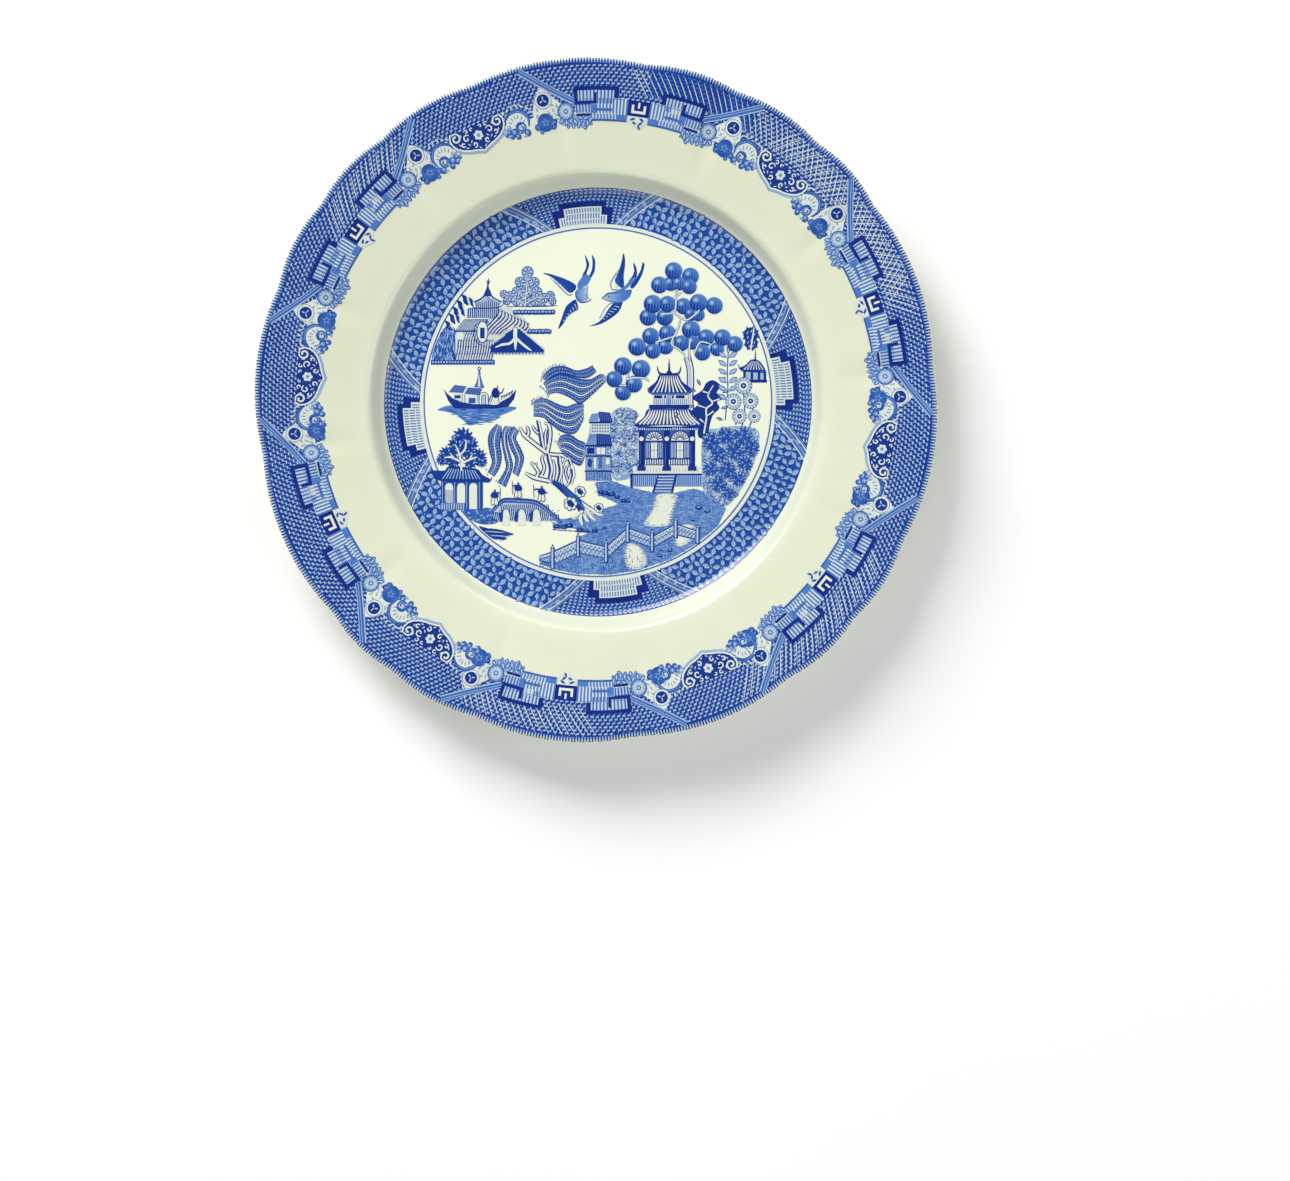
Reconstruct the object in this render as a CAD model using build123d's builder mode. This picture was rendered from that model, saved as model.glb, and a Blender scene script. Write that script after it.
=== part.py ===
from build123d import *

# A ten and a half inch china dinner plate with a blue underglaze print, in millimetres.  It lies on
# its foot ring: the origin is at the middle of the resting plane, +Z is up through the well and +Y
# is the top of the printed scene.  The plate is one fired piece, so its solids are the biscuit body,
# the printed transfer sheets that lie on the body, and the fired glaze that covers both.

import os
from math import cos, radians, sin

# Biscuit body
RIM_RADIUS = 133.2  # at the crest of a lobe
RIM_HEIGHT = 24.4  # face of the ledge at the rim's crest
LEDGE_RADIUS = 89.2  # where the ledge of the rim would meet the wall of the well
LEDGE_HEIGHT = 15.6
FLOOR_RADIUS = 84.6  # where the wall of the well would meet its floor
FLOOR_HEIGHT = 6.6
FLOOR_THICKNESS = 4.2
LEDGE_THICKNESS = 3.9
WELL_TURN = 7.0  # radius between the floor of the well and its wall
SHOULDER_TURN = 4.5  # radius between the wall of the well and the ledge
EDGE_TURN = 1.2  # radius around the rim's edge

# Foot ring
FOOT_RADIUS = 76.0
FOOT_FLAT = 2.2  # width of the bare ring that rests on the table
FOOT_WIDTH = 6.6  # width where the ring leaves the floor
FOOT_TURN = 0.8
BARE_HEIGHT = 0.9  # the ring is wiped clean of glaze up to here

# Fired coats
GLAZE = 0.35
INK = 0.12

# Lobed outline: the angle of each notch between two lobes, in degrees round from +X
NOTCHES = [5, 35, 49, 65, 81, 112, 129, 144, 160, 189, 219, 233, 249, 277, 305, 320, 335]
NOTCH_DEPTH = 1.7
NARROW_LOBE = 20  # a lobe that spans fewer degrees than this is a narrow one
NARROW_LOBE_DROP = 0.35  # the crest of a narrow lobe lies this far inside the rim radius
NOTCH_SOFTNESS = 9.0  # radius in the bottom of a notch

# Transfer sheets
EDGE_SHEET_INSET = (1.3, 3.4)  # how far in from the outline its two edges lie
BORDER_OUTER_INSET = 3.6
BORDER_INNER_RADIUS = 107.4
BORDER_SHEETS = 6
BORDER_START = 22.0  # angle of the middle of the first sheet
BORDER_GAP = 0.4  # degrees between two sheets
BAND_RADII = (70.9, 84.4)
LINE_RADII = (69.2, 70.1)
SCENE_RADIUS = 68.4

# Construction
PAST_RIM = RIM_RADIUS + 4  # the section runs on to here, and the outline trims it
SKY = 60.0  # a height well above the plate

UNDER = FLOOR_HEIGHT - FLOOR_THICKNESS
LEDGE_SLOPE = (RIM_HEIGHT - LEDGE_HEIGHT) / (RIM_RADIUS - LEDGE_RADIUS)
END_HEIGHT = LEDGE_HEIGHT + LEDGE_SLOPE * (PAST_RIM - LEDGE_RADIUS)

FACE = [
    (0, FLOOR_HEIGHT),
    (FLOOR_RADIUS, FLOOR_HEIGHT),
    (LEDGE_RADIUS, LEDGE_HEIGHT),
    (PAST_RIM, END_HEIGHT),
]
BACK = [
    (0, UNDER),
    (FOOT_RADIUS - FOOT_WIDTH / 2, UNDER),
    (FOOT_RADIUS - FOOT_FLAT / 2, 0),
    (FOOT_RADIUS + FOOT_FLAT / 2, 0),
    (FOOT_RADIUS + FOOT_WIDTH / 2, UNDER),
    (FLOOR_RADIUS + 1.0, UNDER + 0.8),
    (LEDGE_RADIUS + 1.6, LEDGE_HEIGHT - LEDGE_THICKNESS),
    (PAST_RIM, END_HEIGHT - LEDGE_THICKNESS),
]


def polar(radius, angle):
    return (radius * cos(radians(angle)), radius * sin(radians(angle)))


def outward(angle):
    """The upright plane whose X runs out from the axis at an angle."""
    return Plane(origin=(0, 0, 0), x_dir=polar(1, angle) + (0,), z_dir=polar(1, angle - 90) + (0,))


def prism(grow):
    """The lobed outline, moved outwards by grow, as a solid taller than the plate."""
    turns = zip(NOTCHES, NOTCHES[1:] + [NOTCHES[0] + 360])
    with BuildPart() as solid:
        with BuildSketch(Plane.XY.offset(-SKY / 2)):
            with BuildLine():
                for start, end in turns:
                    drop = NARROW_LOBE_DROP if end - start < NARROW_LOBE else 0
                    ThreePointArc(
                        polar(RIM_RADIUS + grow - NOTCH_DEPTH, start),
                        polar(RIM_RADIUS + grow - drop, (start + end) / 2),
                        polar(RIM_RADIUS + grow - NOTCH_DEPTH, end),
                    )
            lobes = make_face()
            fillet(lobes.vertices(), NOTCH_SOFTNESS - grow)
        extrude(amount=2 * SKY)
    return solid.part


def section(grow):
    """Half of the plate's section, moved outwards by grow and running on past the rim."""
    with BuildSketch(Plane.XZ) as half:
        with BuildLine():
            FilletPolyline(*FACE, radius=[WELL_TURN, SHOULDER_TURN])
            FilletPolyline(*BACK, radius=4 * [FOOT_TURN] + [WELL_TURN, SHOULDER_TURN])
            Line(FACE[0], BACK[0])
            Line(FACE[-1], BACK[-1])
        make_face()
        if grow:
            offset(amount=grow)
            with Locations((-SKY / 2, 0)):
                Rectangle(SKY, 2 * SKY, mode=Mode.SUBTRACT)
    return half.sketch


def ink(inner, outer, start=0, arc=360):
    """One transfer's thickness on the face, between two radii and over an arc from start."""
    raised = [(radius, height + INK) for radius, height in FACE]
    with BuildPart() as ring:
        with BuildSketch(outward(start)):
            with BuildLine():
                FilletPolyline(*FACE, radius=[WELL_TURN, SHOULDER_TURN])
                FilletPolyline(*raised, radius=[WELL_TURN, SHOULDER_TURN])
                Line(FACE[0], raised[0])
                Line(FACE[-1], raised[-1])
            make_face()
            with Locations(((inner + outer) / 2, 0)):
                Rectangle(outer - inner, 2 * SKY, mode=Mode.INTERSECT)
        revolve(axis=Axis.Z, revolution_arc=arc)
    return ring.part


def from_axis(point):
    return (point.X**2 + point.Y**2) ** 0.5


def rim_cuts(solid):
    """The two rows of edges that the lobed outline cuts around the rim, above and below."""
    inside = RIM_RADIUS - 2 * NOTCH_DEPTH
    level = solid.edges().filter_by(lambda edge: abs((edge @ 0).Z - (edge @ 1).Z) < LEDGE_THICKNESS / 2)
    outer = level.filter_by(lambda edge: from_axis(edge @ 0.5) > inside)
    return outer.filter_by(lambda edge: (edge @ 0.5).Z > LEDGE_HEIGHT)


# The fired body: the well, its wall, the ledge and the foot ring are one piece of clay
with BuildPart() as biscuit_body:
    add(revolve(section(0), axis=Axis.Z))
    add(prism(0), mode=Mode.INTERSECT)
    fillet(rim_cuts(biscuit_body), EDGE_TURN)

# The printed transfer sheets.  The border is laid on in lengths, one repeat of the pattern each.
sheets = {}
border_arc = 360 / BORDER_SHEETS
for number in range(BORDER_SHEETS):
    first = BORDER_START + border_arc * (number - 0.5) + BORDER_GAP / 2
    with BuildPart() as border:
        add(ink(BORDER_INNER_RADIUS, RIM_RADIUS, first, border_arc - BORDER_GAP))
        add(prism(-BORDER_OUTER_INSET), mode=Mode.INTERSECT)
    sheets[f"border_transfer_{number + 1}"] = border.part

with BuildPart() as edge_transfer:
    add(ink(BORDER_INNER_RADIUS, RIM_RADIUS))
    add(prism(-EDGE_SHEET_INSET[0]), mode=Mode.INTERSECT)
    add(prism(-EDGE_SHEET_INSET[1]), mode=Mode.SUBTRACT)
sheets["edge_transfer"] = edge_transfer.part

with BuildPart() as band_transfer:
    add(ink(*BAND_RADII))
sheets["band_transfer"] = band_transfer.part

with BuildPart() as line_transfer:
    add(ink(*LINE_RADII))
sheets["line_transfer"] = line_transfer.part

with BuildPart() as scene_transfer:
    add(ink(0, SCENE_RADIUS))
sheets["scene_transfer"] = scene_transfer.part

# The fired glaze.  It covers everything but the bottom of the foot ring, which parts it in two:
# the coat over the face, the edge and the outer back, and the coat under the floor of the well.
with BuildPart() as glaze:
    add(revolve(section(GLAZE), axis=Axis.Z))
    add(prism(GLAZE), mode=Mode.INTERSECT)
    fillet(rim_cuts(glaze), EDGE_TURN + GLAZE)
    add(biscuit_body.part, mode=Mode.SUBTRACT)
    with Locations((0, 0, BARE_HEIGHT - SKY / 2)):
        Cylinder(RIM_RADIUS, SKY, mode=Mode.SUBTRACT)
    for sheet in sheets.values():
        add(sheet, mode=Mode.SUBTRACT)

base_coat, main_coat = glaze.solids().sort_by(SortBy.VOLUME)
with BuildPart() as main_glaze:
    add(main_coat)
with BuildPart() as base_glaze:
    add(base_coat)

pieces = {
    "biscuit_body": biscuit_body.part,
    "main_glaze": main_glaze.part,
    "base_glaze": base_glaze.part,
    **sheets,
}
os.makedirs("parts", exist_ok=True)
for name, piece in pieces.items():
    piece.label = name
    export_step(piece, f"parts/{name}.step")
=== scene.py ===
import math
import random

import bmesh
import bpy
import numpy as np
from mathutils import Matrix, Vector


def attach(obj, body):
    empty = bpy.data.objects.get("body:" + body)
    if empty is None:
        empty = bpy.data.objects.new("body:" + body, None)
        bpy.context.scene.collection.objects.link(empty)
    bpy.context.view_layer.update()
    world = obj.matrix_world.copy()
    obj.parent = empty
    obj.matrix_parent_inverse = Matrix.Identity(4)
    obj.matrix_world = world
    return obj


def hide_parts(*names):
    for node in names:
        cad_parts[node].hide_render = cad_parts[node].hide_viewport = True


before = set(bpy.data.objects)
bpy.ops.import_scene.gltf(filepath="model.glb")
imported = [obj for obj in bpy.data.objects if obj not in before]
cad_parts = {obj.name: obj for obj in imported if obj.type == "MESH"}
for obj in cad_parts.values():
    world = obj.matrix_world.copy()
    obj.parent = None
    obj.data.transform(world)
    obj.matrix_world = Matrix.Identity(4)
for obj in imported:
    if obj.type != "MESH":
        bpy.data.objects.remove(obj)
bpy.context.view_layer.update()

# The china dinner plate.  Everything is drawn in millimetres in the plate's own frame, with the
# origin under the middle of the well, and turned into metres as each mesh is made.
MM = 0.001

# ---------------------------------------------------------------- shape of the glazed plate
RIM_RADIUS = 133.55  # at the crest of a lobe
RIM_HEIGHT = 24.75
LEDGE_RADIUS = 89.0  # where the ledge would meet the wall of the well
LEDGE_HEIGHT = 15.95
FLOOR_RADIUS = 84.4
FLOOR_HEIGHT = 6.95
FLOOR_UNDER = 2.05
LEDGE_THICKNESS = 4.6
WELL_TURN = 6.7
SHOULDER_TURN = 4.9
EDGE_TURN = 1.55
BARE_TOP = 0.9  # the foot ring is bare below this height

NOTCHES = [5, 35, 49, 65, 81, 112, 129, 144, 160, 189, 219, 233, 249, 277, 305, 320, 335]
NOTCH_DEPTH = 1.7
NOTCH_SOFT = 0.22  # how much a notch's bottom is rounded away
NARROW_LOBE = 20  # a lobe that spans fewer degrees than this is a narrow one
NARROW_DROP = 0.35  # the crest of a narrow lobe lies this far inside the rim radius
CREASES = [35.5, 66, 97, 129, 160, 189, 219, 249, 278, 305, 335, 5]
CREASE_DEPTH = 0.6
CREASE_HALF = 2.0  # degrees from a crease's middle to where it is a third as deep
CREASE_START = LEDGE_RADIUS + 3  # the creases deepen outwards from this radius
CREASE_RUN = 14  # and reach their full depth this much further out
NOTCH_REACH = 1.6  # degrees over which a notch's rounding fades


def polar(angle, radius):
    return (radius * math.cos(math.radians(angle)), radius * math.sin(math.radians(angle)))


def turn_gap(a, b):
    """Degrees between two directions, at most 180."""
    return abs((a - b + 180) % 360 - 180)


def rounded(corners, turns, steps=9):
    """A section line through corners, each inner one rounded to its own radius."""
    line = [corners[0]]
    for before, corner, after, turn in zip(corners, corners[1:], corners[2:], turns):
        a, b, c = (Vector(point) for point in (before, corner, after))
        into, out = (b - a).normalized(), (c - b).normalized()
        bend = into.angle(out)
        back = turn * math.tan(bend / 2)
        side = 1 if into.x * out.y - into.y * out.x > 0 else -1
        centre = b - into * back + side * turn * Vector((-into.y, into.x))
        start = b - into * back - centre
        for step in range(steps + 1):
            swing = side * bend * step / steps
            spoke = Vector(
                (
                    start.x * math.cos(swing) - start.y * math.sin(swing),
                    start.x * math.sin(swing) + start.y * math.cos(swing),
                )
            )
            line.append(tuple(centre + spoke))
    line.append(corners[-1])
    return line


FACE = rounded(
    [
        (0, FLOOR_HEIGHT),
        (FLOOR_RADIUS, FLOOR_HEIGHT),
        (LEDGE_RADIUS, LEDGE_HEIGHT),
        (RIM_RADIUS, RIM_HEIGHT),
    ],
    [WELL_TURN, SHOULDER_TURN],
)
FACE_R = np.array([point[0] for point in FACE])
FACE_Z = np.array([point[1] for point in FACE])


def lobe(angle):
    """How far the outline lies inside the rim's crest radius at an angle."""
    angle = (angle - NOTCHES[0]) % 360 + NOTCHES[0]
    ends = NOTCHES[1:] + [NOTCHES[0] + 360]
    start, end = next(pair for pair in zip(NOTCHES, ends) if angle <= pair[1])
    across = (2 * angle - start - end) / (end - start)
    crest = NARROW_DROP if end - start < NARROW_LOBE else 0
    soft = NOTCH_SOFT * math.exp(-(1 - abs(across)) * (end - start) / NOTCH_REACH)
    return crest * (1 - across**2) + NOTCH_DEPTH * across**2 - soft


def crease(angle):
    """Depth of the soft moulded creases of the ledge, at an angle."""
    return CREASE_DEPTH * sum(math.exp(-((turn_gap(angle, middle) / CREASE_HALF) ** 2)) for middle in CREASES)


TURNS = np.linspace(0, 360, 1441)
EDGES = np.array([RIM_RADIUS - lobe(turn) for turn in TURNS])
DIPS = np.array([crease(turn) for turn in TURNS])


def edge_radius(angle):
    """Radius of the lobed outline at an angle."""
    return np.interp(np.mod(angle, 360), TURNS, EDGES)


def height(x, y):
    """Height of the glazed face over points of the plate, with its creases and rounded edge."""
    radius, angle = np.hypot(x, y), np.degrees(np.arctan2(y, x)) % 360
    fade = np.clip((radius - CREASE_START) / CREASE_RUN, 0, 1)
    near = np.clip(EDGE_TURN - (edge_radius(angle) - radius), 0, EDGE_TURN)
    drop = EDGE_TURN - np.sqrt(EDGE_TURN**2 - near**2)
    return np.interp(radius, FACE_R, FACE_Z) - fade * np.interp(angle, TURNS, DIPS) - drop


def face_normals(x, y):
    """Outward directions of the glazed face over points of the plate."""
    step = 0.3
    dx = (height(x + step, y) - height(x - step, y)) / (2 * step)
    dy = (height(x, y + step) - height(x, y - step)) / (2 * step)
    up = np.stack([-dx, -dy, np.ones_like(dx)], axis=-1)
    return up / np.linalg.norm(up, axis=-1, keepdims=True)


# ---------------------------------------------------------------- drawing kit
# The print is drawn as flat marks in plate millimetres.  Each printed piece keeps its marks as
# (points, shades, level): a shade runs from 0, bare glaze, to 1, the deepest cobalt, and marks on
# a higher level lie on top of lower ones.
LEVEL_STEP = 0.022  # height of one level above the glaze


def curve(points, closed=False, steps=4):
    """A smooth line through points."""
    count = len(points)
    if count < 3:
        return list(points)
    line = []
    for index in range(count if closed else count - 1):
        if closed:
            knots = [points[(index + shift) % count] for shift in (-1, 0, 1, 2)]
        else:
            knots = [points[min(max(index + shift, 0), count - 1)] for shift in (-1, 0, 1, 2)]
        for step in range(steps):
            t = step / steps
            line.append(
                tuple(
                    0.5
                    * (
                        2 * b
                        + (c - a) * t
                        + (2 * a - 5 * b + 4 * c - d) * t * t
                        + (3 * b - a - 3 * c + d) * t**3
                    )
                    for a, b, c, d in zip(*knots)
                )
            )
    if not closed:
        line.append(tuple(points[-1]))
    return line


def shifted(points, across, up=0.0):
    """The same points, moved."""
    return [(x + across, y + up) for x, y in points]


def off(x, y, turn, reach, rise=None):
    """The point at a reach from (x, y), turned by degrees, on an ellipse if a rise is given."""
    turn = math.radians(turn)
    return (x + reach * math.cos(turn), y + (reach if rise is None else rise) * math.sin(turn))


def arched(x, y, half, rise, step=20):
    """The curve of an arch, from its left springing to its right one."""
    return [off(x, y, 180 - turn, half, rise) for turn in range(0, 181, step)]


def here(x, y):
    return (x, y)


def around(angle, radius):
    """Placing for border motifs: u runs clockwise in millimetres at a radius, v is the radius."""
    return lambda u, v: polar(angle - math.degrees(u / radius), v)


class Art:
    """One printed piece, as a list of flat marks."""

    made = []

    def __init__(self, name, place=here):
        self.name = name
        self.place = place
        self.marks = []
        Art.made.append(self)

    def mark(self, points, shade, level=1):
        placed = [self.place(*point) for point in points]
        shades = [shade(*point) if callable(shade) else shade for point in points]
        area = sum(a[0] * b[1] - b[0] * a[1] for a, b in zip(placed, placed[1:] + placed[:1]))
        if area < 0:  # every mark faces up
            placed.reverse()
            shades.reverse()
        self.marks.append((placed, shades, level))

    def fill(self, points, shade, level=1):
        """A straight-sided patch."""
        self.mark(points, shade, level)

    def blob(self, points, shade, level=1):
        """A patch with a smooth outline through its points."""
        self.mark(curve(points, True), shade, level)

    def disc(self, x, y, radius, shade, level=1, sides=14, squash=1.0, turn=0.0):
        ring = []
        for side in range(sides):
            swing = math.tau * side / sides
            a, b = radius * math.cos(swing), radius * squash * math.sin(swing)
            ring.append(
                (
                    x + a * math.cos(turn) - b * math.sin(turn),
                    y + a * math.sin(turn) + b * math.cos(turn),
                )
            )
        self.mark(ring, shade, level)

    def line(self, points, width, shade, level=2, ends=(1, 1), smooth=True, closed=False):
        """A stroke along points: ends give its width at each end as a share of width."""
        path = curve(points, closed) if smooth else list(points)
        if closed:
            path = path + [path[0]]
        sides = []
        for index, (x, y) in enumerate(path):
            if closed and index in (0, len(path) - 1):
                before, after = path[-2], path[1]
            else:
                before, after = path[max(index - 1, 0)], path[min(index + 1, len(path) - 1)]
            dx, dy = after[0] - before[0], after[1] - before[1]
            size = math.hypot(dx, dy) or 1
            t = index / max(len(path) - 1, 1)
            swell = ends[0] + (1 - ends[0]) * min(t * 3, 1) if t < 0.5 else ends[1] + (1 - ends[1]) * min(
                (1 - t) * 3, 1,
            )
            half = width / 2 * swell
            sides.append(
                ((x - dy / size * half, y + dx / size * half), (x + dy / size * half, y - dx / size * half))
            )
        for (a, b), (c, d) in zip(sides, sides[1:]):
            self.mark([a, b, d, c], shade, level)

    def grid(self, u0, u1, v0, v1, shade, level=1, step=2.5):
        """A rectangle of cells, for patches that follow the curve of the ledge."""
        columns = max(1, round(abs(u1 - u0) / step))
        rows = max(1, round(abs(v1 - v0) / step))
        for column in range(columns):
            a, b = (u0 + (u1 - u0) * (column + end) / columns for end in (0, 1))
            for row in range(rows):
                c, d = (v0 + (v1 - v0) * (row + end) / rows for end in (0, 1))
                self.mark([(a, c), (b, c), (b, d), (a, d)], shade, level)

    def petal(self, x, y, length, width, turn, shade, level=2):
        """A pointed oval, turned anticlockwise from the u axis by degrees."""
        c, s = math.cos(math.radians(turn)), math.sin(math.radians(turn))
        half = length / 2
        outline = [
            (-1, 0), (-0.55, 0.62), (0, 1), (0.55, 0.62), (1, 0), (0.55, -0.62), (0, -1), (-0.55, -0.62),
        ]
        self.mark(
            [
                (x + half * a * c - width / 2 * b * s, y + half * a * s + width / 2 * b * c)
                for a,
                b in outline
            ],
            shade,
            level,
        )


# ---------------------------------------------------------------- the border's print
BORDER_REF = 118
FRETS = [19, 81.4, 144.6, 204.6, 264.3, 321.5]  # middles of the pairs of frets
CARTOUCHES = [50.4, 113.7, 175.1, 235.2, 293, 350.3]
BORDER_IN = 112.8  # inner edge of the woven ground
COMB = 2.1  # width of the comb of fine teeth along the rim


def border_ground():
    art = Art("border_ground")
    turns, rows = 720, 7
    for index in range(turns):
        a, b = 360 * index / turns, 360 * (index + 1) / turns
        for row in range(rows):
            quad = []
            for angle, t in ((a, row), (b, row), (b, row + 1), (a, row + 1)):
                outer = edge_radius(angle) - COMB
                quad.append(polar(angle, BORDER_IN + (outer - BORDER_IN) * t / rows))
            art.mark(quad, 0.84, 1)


RULED = ((82, 18, 1, 1.15), (58, 18, -1, 1.3), (150, 131, -1, 1.2), (268, 244, 1, 1.2), (334, 300, -1, 1.2))


def border_weave():
    """Short light strokes laid in a basket weave over the dark ground, uneven as if cut by hand."""
    art = Art("border_weave")
    draw = random.Random(5)
    rows, columns = 13, 372
    for row in range(rows):
        radius = BORDER_IN + 0.9 + 1.36 * row
        for column in range(columns):
            angle = 360 * (column + 0.5 * (row % 2)) / columns
            if radius > edge_radius(angle) - COMB - 0.5:
                continue
            art.place = around(angle, radius)
            ruled = 60 < angle < 80 and row > 4
            art.petal(
                0, radius, draw.uniform(1.3, 1.7), draw.uniform(0.5, 0.7), draw.uniform(-10, 14),
                0.6 if ruled else 0.16, 2,
            )
            if row < rows - 1 and not ruled:
                art.petal(
                    0.5, radius + 0.68, draw.uniform(1.3, 1.7), 0.32, 63 + draw.uniform(-10, 10), 0.36, 2,
                )
                if row % 3 == 1:
                    art.petal(-0.5, radius + 0.68, 1.4, 0.28, 117, 0.42, 2)


def border_lines():
    """Long fine pale lines ruled across the weave, in the stretches where the engraver used them."""
    art = Art("border_lines")
    for first, last, lean, pitch in RULED:
        for index in range(int(abs(first - last) / pitch)):
            start = min(first, last) + pitch * index
            path, radius, angle = [], BORDER_IN + 6.5, start
            while radius < edge_radius(angle) - COMB - 0.2:
                path.append(polar(angle, radius))
                radius += 1.3
                angle += lean * 0.42
            art.line(path, 0.3, 0.06, 2.2, (0.6, 0.4), smooth=False)


def border_comb():
    """Fine dark teeth all round the rim, from the weave out to the pale edge."""
    art = Art("border_comb")
    teeth = 720
    for tooth in range(teeth):
        angle = 360 * tooth / teeth
        wide = 360 / teeth
        for turns, insets, shade, level in (
            ((0, wide), (COMB + 0.05, 1.3), 0.3, 1),
            ((0, wide), (1.3, 0.4), 0.08, 1),
            ((wide * 0.1, wide * 0.62), (COMB + 0.1, 0.25 if tooth % 3 else 0.55), 0.86, 2),
        ):
            corners = [
                (turns[0], insets[0]), (turns[1], insets[0]), (turns[1], insets[1]), (turns[0], insets[1]),
            ]
            art.mark(
                [polar(angle + turn, edge_radius(angle + turn) - inset) for turn, inset in corners], shade,
                level,
            )


def hatch(art, u0, u1, v0, v1, pitch, shade, level):
    """Thin upright strokes across a patch, as an engraver shades it."""
    count = max(1, round(abs(u1 - u0) / pitch))
    for index in range(count):
        u = u0 + (u1 - u0) * (index + 0.5) / count
        art.grid(u - pitch * 0.22, u + pitch * 0.22, v0, v1, shade, level, 3)


def border_fret(number, angle):
    """A pair of hooked frets on a fenced wall, with the small shield between them."""
    art = Art(f"border_fret_{number}", around(angle, BORDER_REF))
    for side in (-1, 1):

        def box(u0, u1, v0, v1, shade, level):
            art.grid(side * u0, side * u1, v0, v1, shade, level)

        box(4.4, 19.4, 109, 117.6, 0.52, 3)
        box(8.4, 25.8, 115.3, 122.1, 0.16, 3)
        hatch(art, side * 10.4, side * 24.2, 115.6, 120.8, 1.4, 0.62, 4)
        hatch(art, side * 4.8, side * 17, 111.6, 117.8, 1.4, 0.08, 4)
        hatch(art, side * 8.6, side * 19.2, 109.8, 112, 1.4, 0.14, 4)
        box(19.4, 25.7, 112.2, 115.4, 0.2, 4)
        hatch(art, side * 19.4, side * 25.7, 112.3, 115.2, 1.4, 0.64, 5)
        for part in (
            (10.7, 17.9, 112.8, 113.8, 0.6, 6),
            (6, 24, 117.2, 117.45, 0.5, 5),
            (19.5, 25.4, 111, 111.9, 0.95, 6),
            (19.4, 25.6, 115.2, 115.5, 0.7, 6),
            (8.4, 25.8, 120.7, 122.1, 0.96, 6),
            (24.3, 25.8, 115.5, 120.7, 0.96, 6),
            (17, 24.3, 115.5, 116.7, 0.96, 6),
            (17, 18.2, 116.7, 119.8, 0.96, 6),
            (8.4, 10.2, 117.7, 120.7, 0.96, 6),
            (4.5, 19.4, 109, 109.5, 0.68, 6),
        ):
            box(*part)
    for u0, u1, v0, v1, shade, level in (
        (-4.4, 4.4, 111.6, 117.5, 0.97, 6),
        (-2.9, 2.9, 112.7, 113.7, 0.02, 7),
        (-2.9, -1.9, 113.7, 115.9, 0.02, 7),
        (1.9, 2.9, 113.7, 115.9, 0.02, 7),
        (-0.4, 0.4, 114.7, 116.9, 0.02, 7),
    ):
        art.grid(u0, u1, v0, v1, shade, level)
    art.fill([(-4, 111.6), (4, 111.6), (4, 109.3), (0.8, 107), (-0.6, 107.2), (-4, 109.3)], 0.06, 6)
    for x, y, length, turn in (
        (-2, 110.4, 2.6, 20), (1.8, 110.5, 2.6, -30), (-1.2, 109, 2.2, -20), (1.4, 109, 2.6, 40),
        (0.9, 107.6, 2.4, -60),
    ):
        art.petal(x, y, length, 1, turn, 0.72, 7)


def border_leaves(number, angle):
    """The rosettes and leaf sprays that hang below the outer ends of a pair of frets."""
    art = Art(f"border_leaves_{number}", around(angle, BORDER_REF))
    for side in (-1, 1):

        def at(*points):
            return [(side * u, v) for u, v in points]

        art.blob(
            at(
                (37.4, 123.2), (40.6, 120.8), (41.9, 117.4), (42.8, 114.4), (42.4, 109), (38, 107.6),
                (33.6, 108.2), (29.8, 110), (31.4, 116.2), (34.2, 119.2),
            ),
            0.05, 2.9,
        )
        art.blob(
            at(
                (18.6, 110.6), (19.6, 107.8), (22.4, 106.4), (25.6, 107.2), (30, 107.6), (33, 109.2),
                (30.4, 112), (25.6, 111.6),
            ),
            0.34, 3,
        )
        for x, y, length, turn in (
            (19.6, 109.4, 2.8, -60),
            (20.9, 108.2, 3, -85),
            (22.6, 107.6, 3, -100),
            (24.4, 108.2, 3, -70),
            (26, 109, 3.2, -120),
            (21.6, 110.2, 2.6, -30),
            (23.8, 110.4, 2.6, -150),
            (27.8, 109.6, 3, -60),
            (29.8, 109, 2.6, -90),
            (31.8, 109.8, 2.8, -40),
            (27, 107.4, 2, -100),
        ):
            art.petal(side * x, y, length + 0.3, 1.8, side * turn, 0.74, 4)
            art.petal(side * x, y, length, 1.4, side * turn, 0.5, 5)
            art.petal(side * x, y, length * 0.7, 0.6, side * turn, 0.14, 6)
        for x, y, size in ((22, 106.5, 0.8), (24.8, 107, 0.7), (19.3, 107.9, 0.6), (29.2, 107.3, 0.7)):
            art.disc(side * x, y, size, 0.62, 5, 10)
            art.disc(side * x, y, size * 0.4, 0.2, 6, 8)
        art.disc(side * 29.6, 113.2, 3.5, 0.62, 5, 20)
        art.disc(side * 29.6, 113.2, 2.9, 0.3, 6, 18)
        for spoke in range(11):
            turn = 360 / 11 * spoke
            art.petal(*off(side * 29.6, 113.2, turn, 1.9), 2, 0.7, turn, 0.1, 7)
            art.petal(*off(side * 29.6, 113.2, turn, 2.6), 1.3, 0.3, turn + 16, 0.7, 8)
        art.disc(side * 29.6, 113.2, 1, 0.5, 8, 10)
        art.disc(side * 29.6, 113.2, 0.45, 0.12, 9, 8)
        for x, y, turn in (
            (33.6, 112.4, 40), (34.6, 114.2, 60), (33.4, 110.8, 20), (35.4, 111.8, 100), (33, 115.8, 100),
            (35, 116.4, 20),
            (36.4, 113.6, 60), (35.4, 109.4, 130), (41, 115.4, 70), (41.4, 113, 120), (40.2, 121, 20),
        ):
            art.petal(side * x, y, 2, 0.7, side * turn, 0.5, 4)
            art.petal(side * x, y, 1.3, 0.3, side * turn, 0.16, 5)


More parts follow.
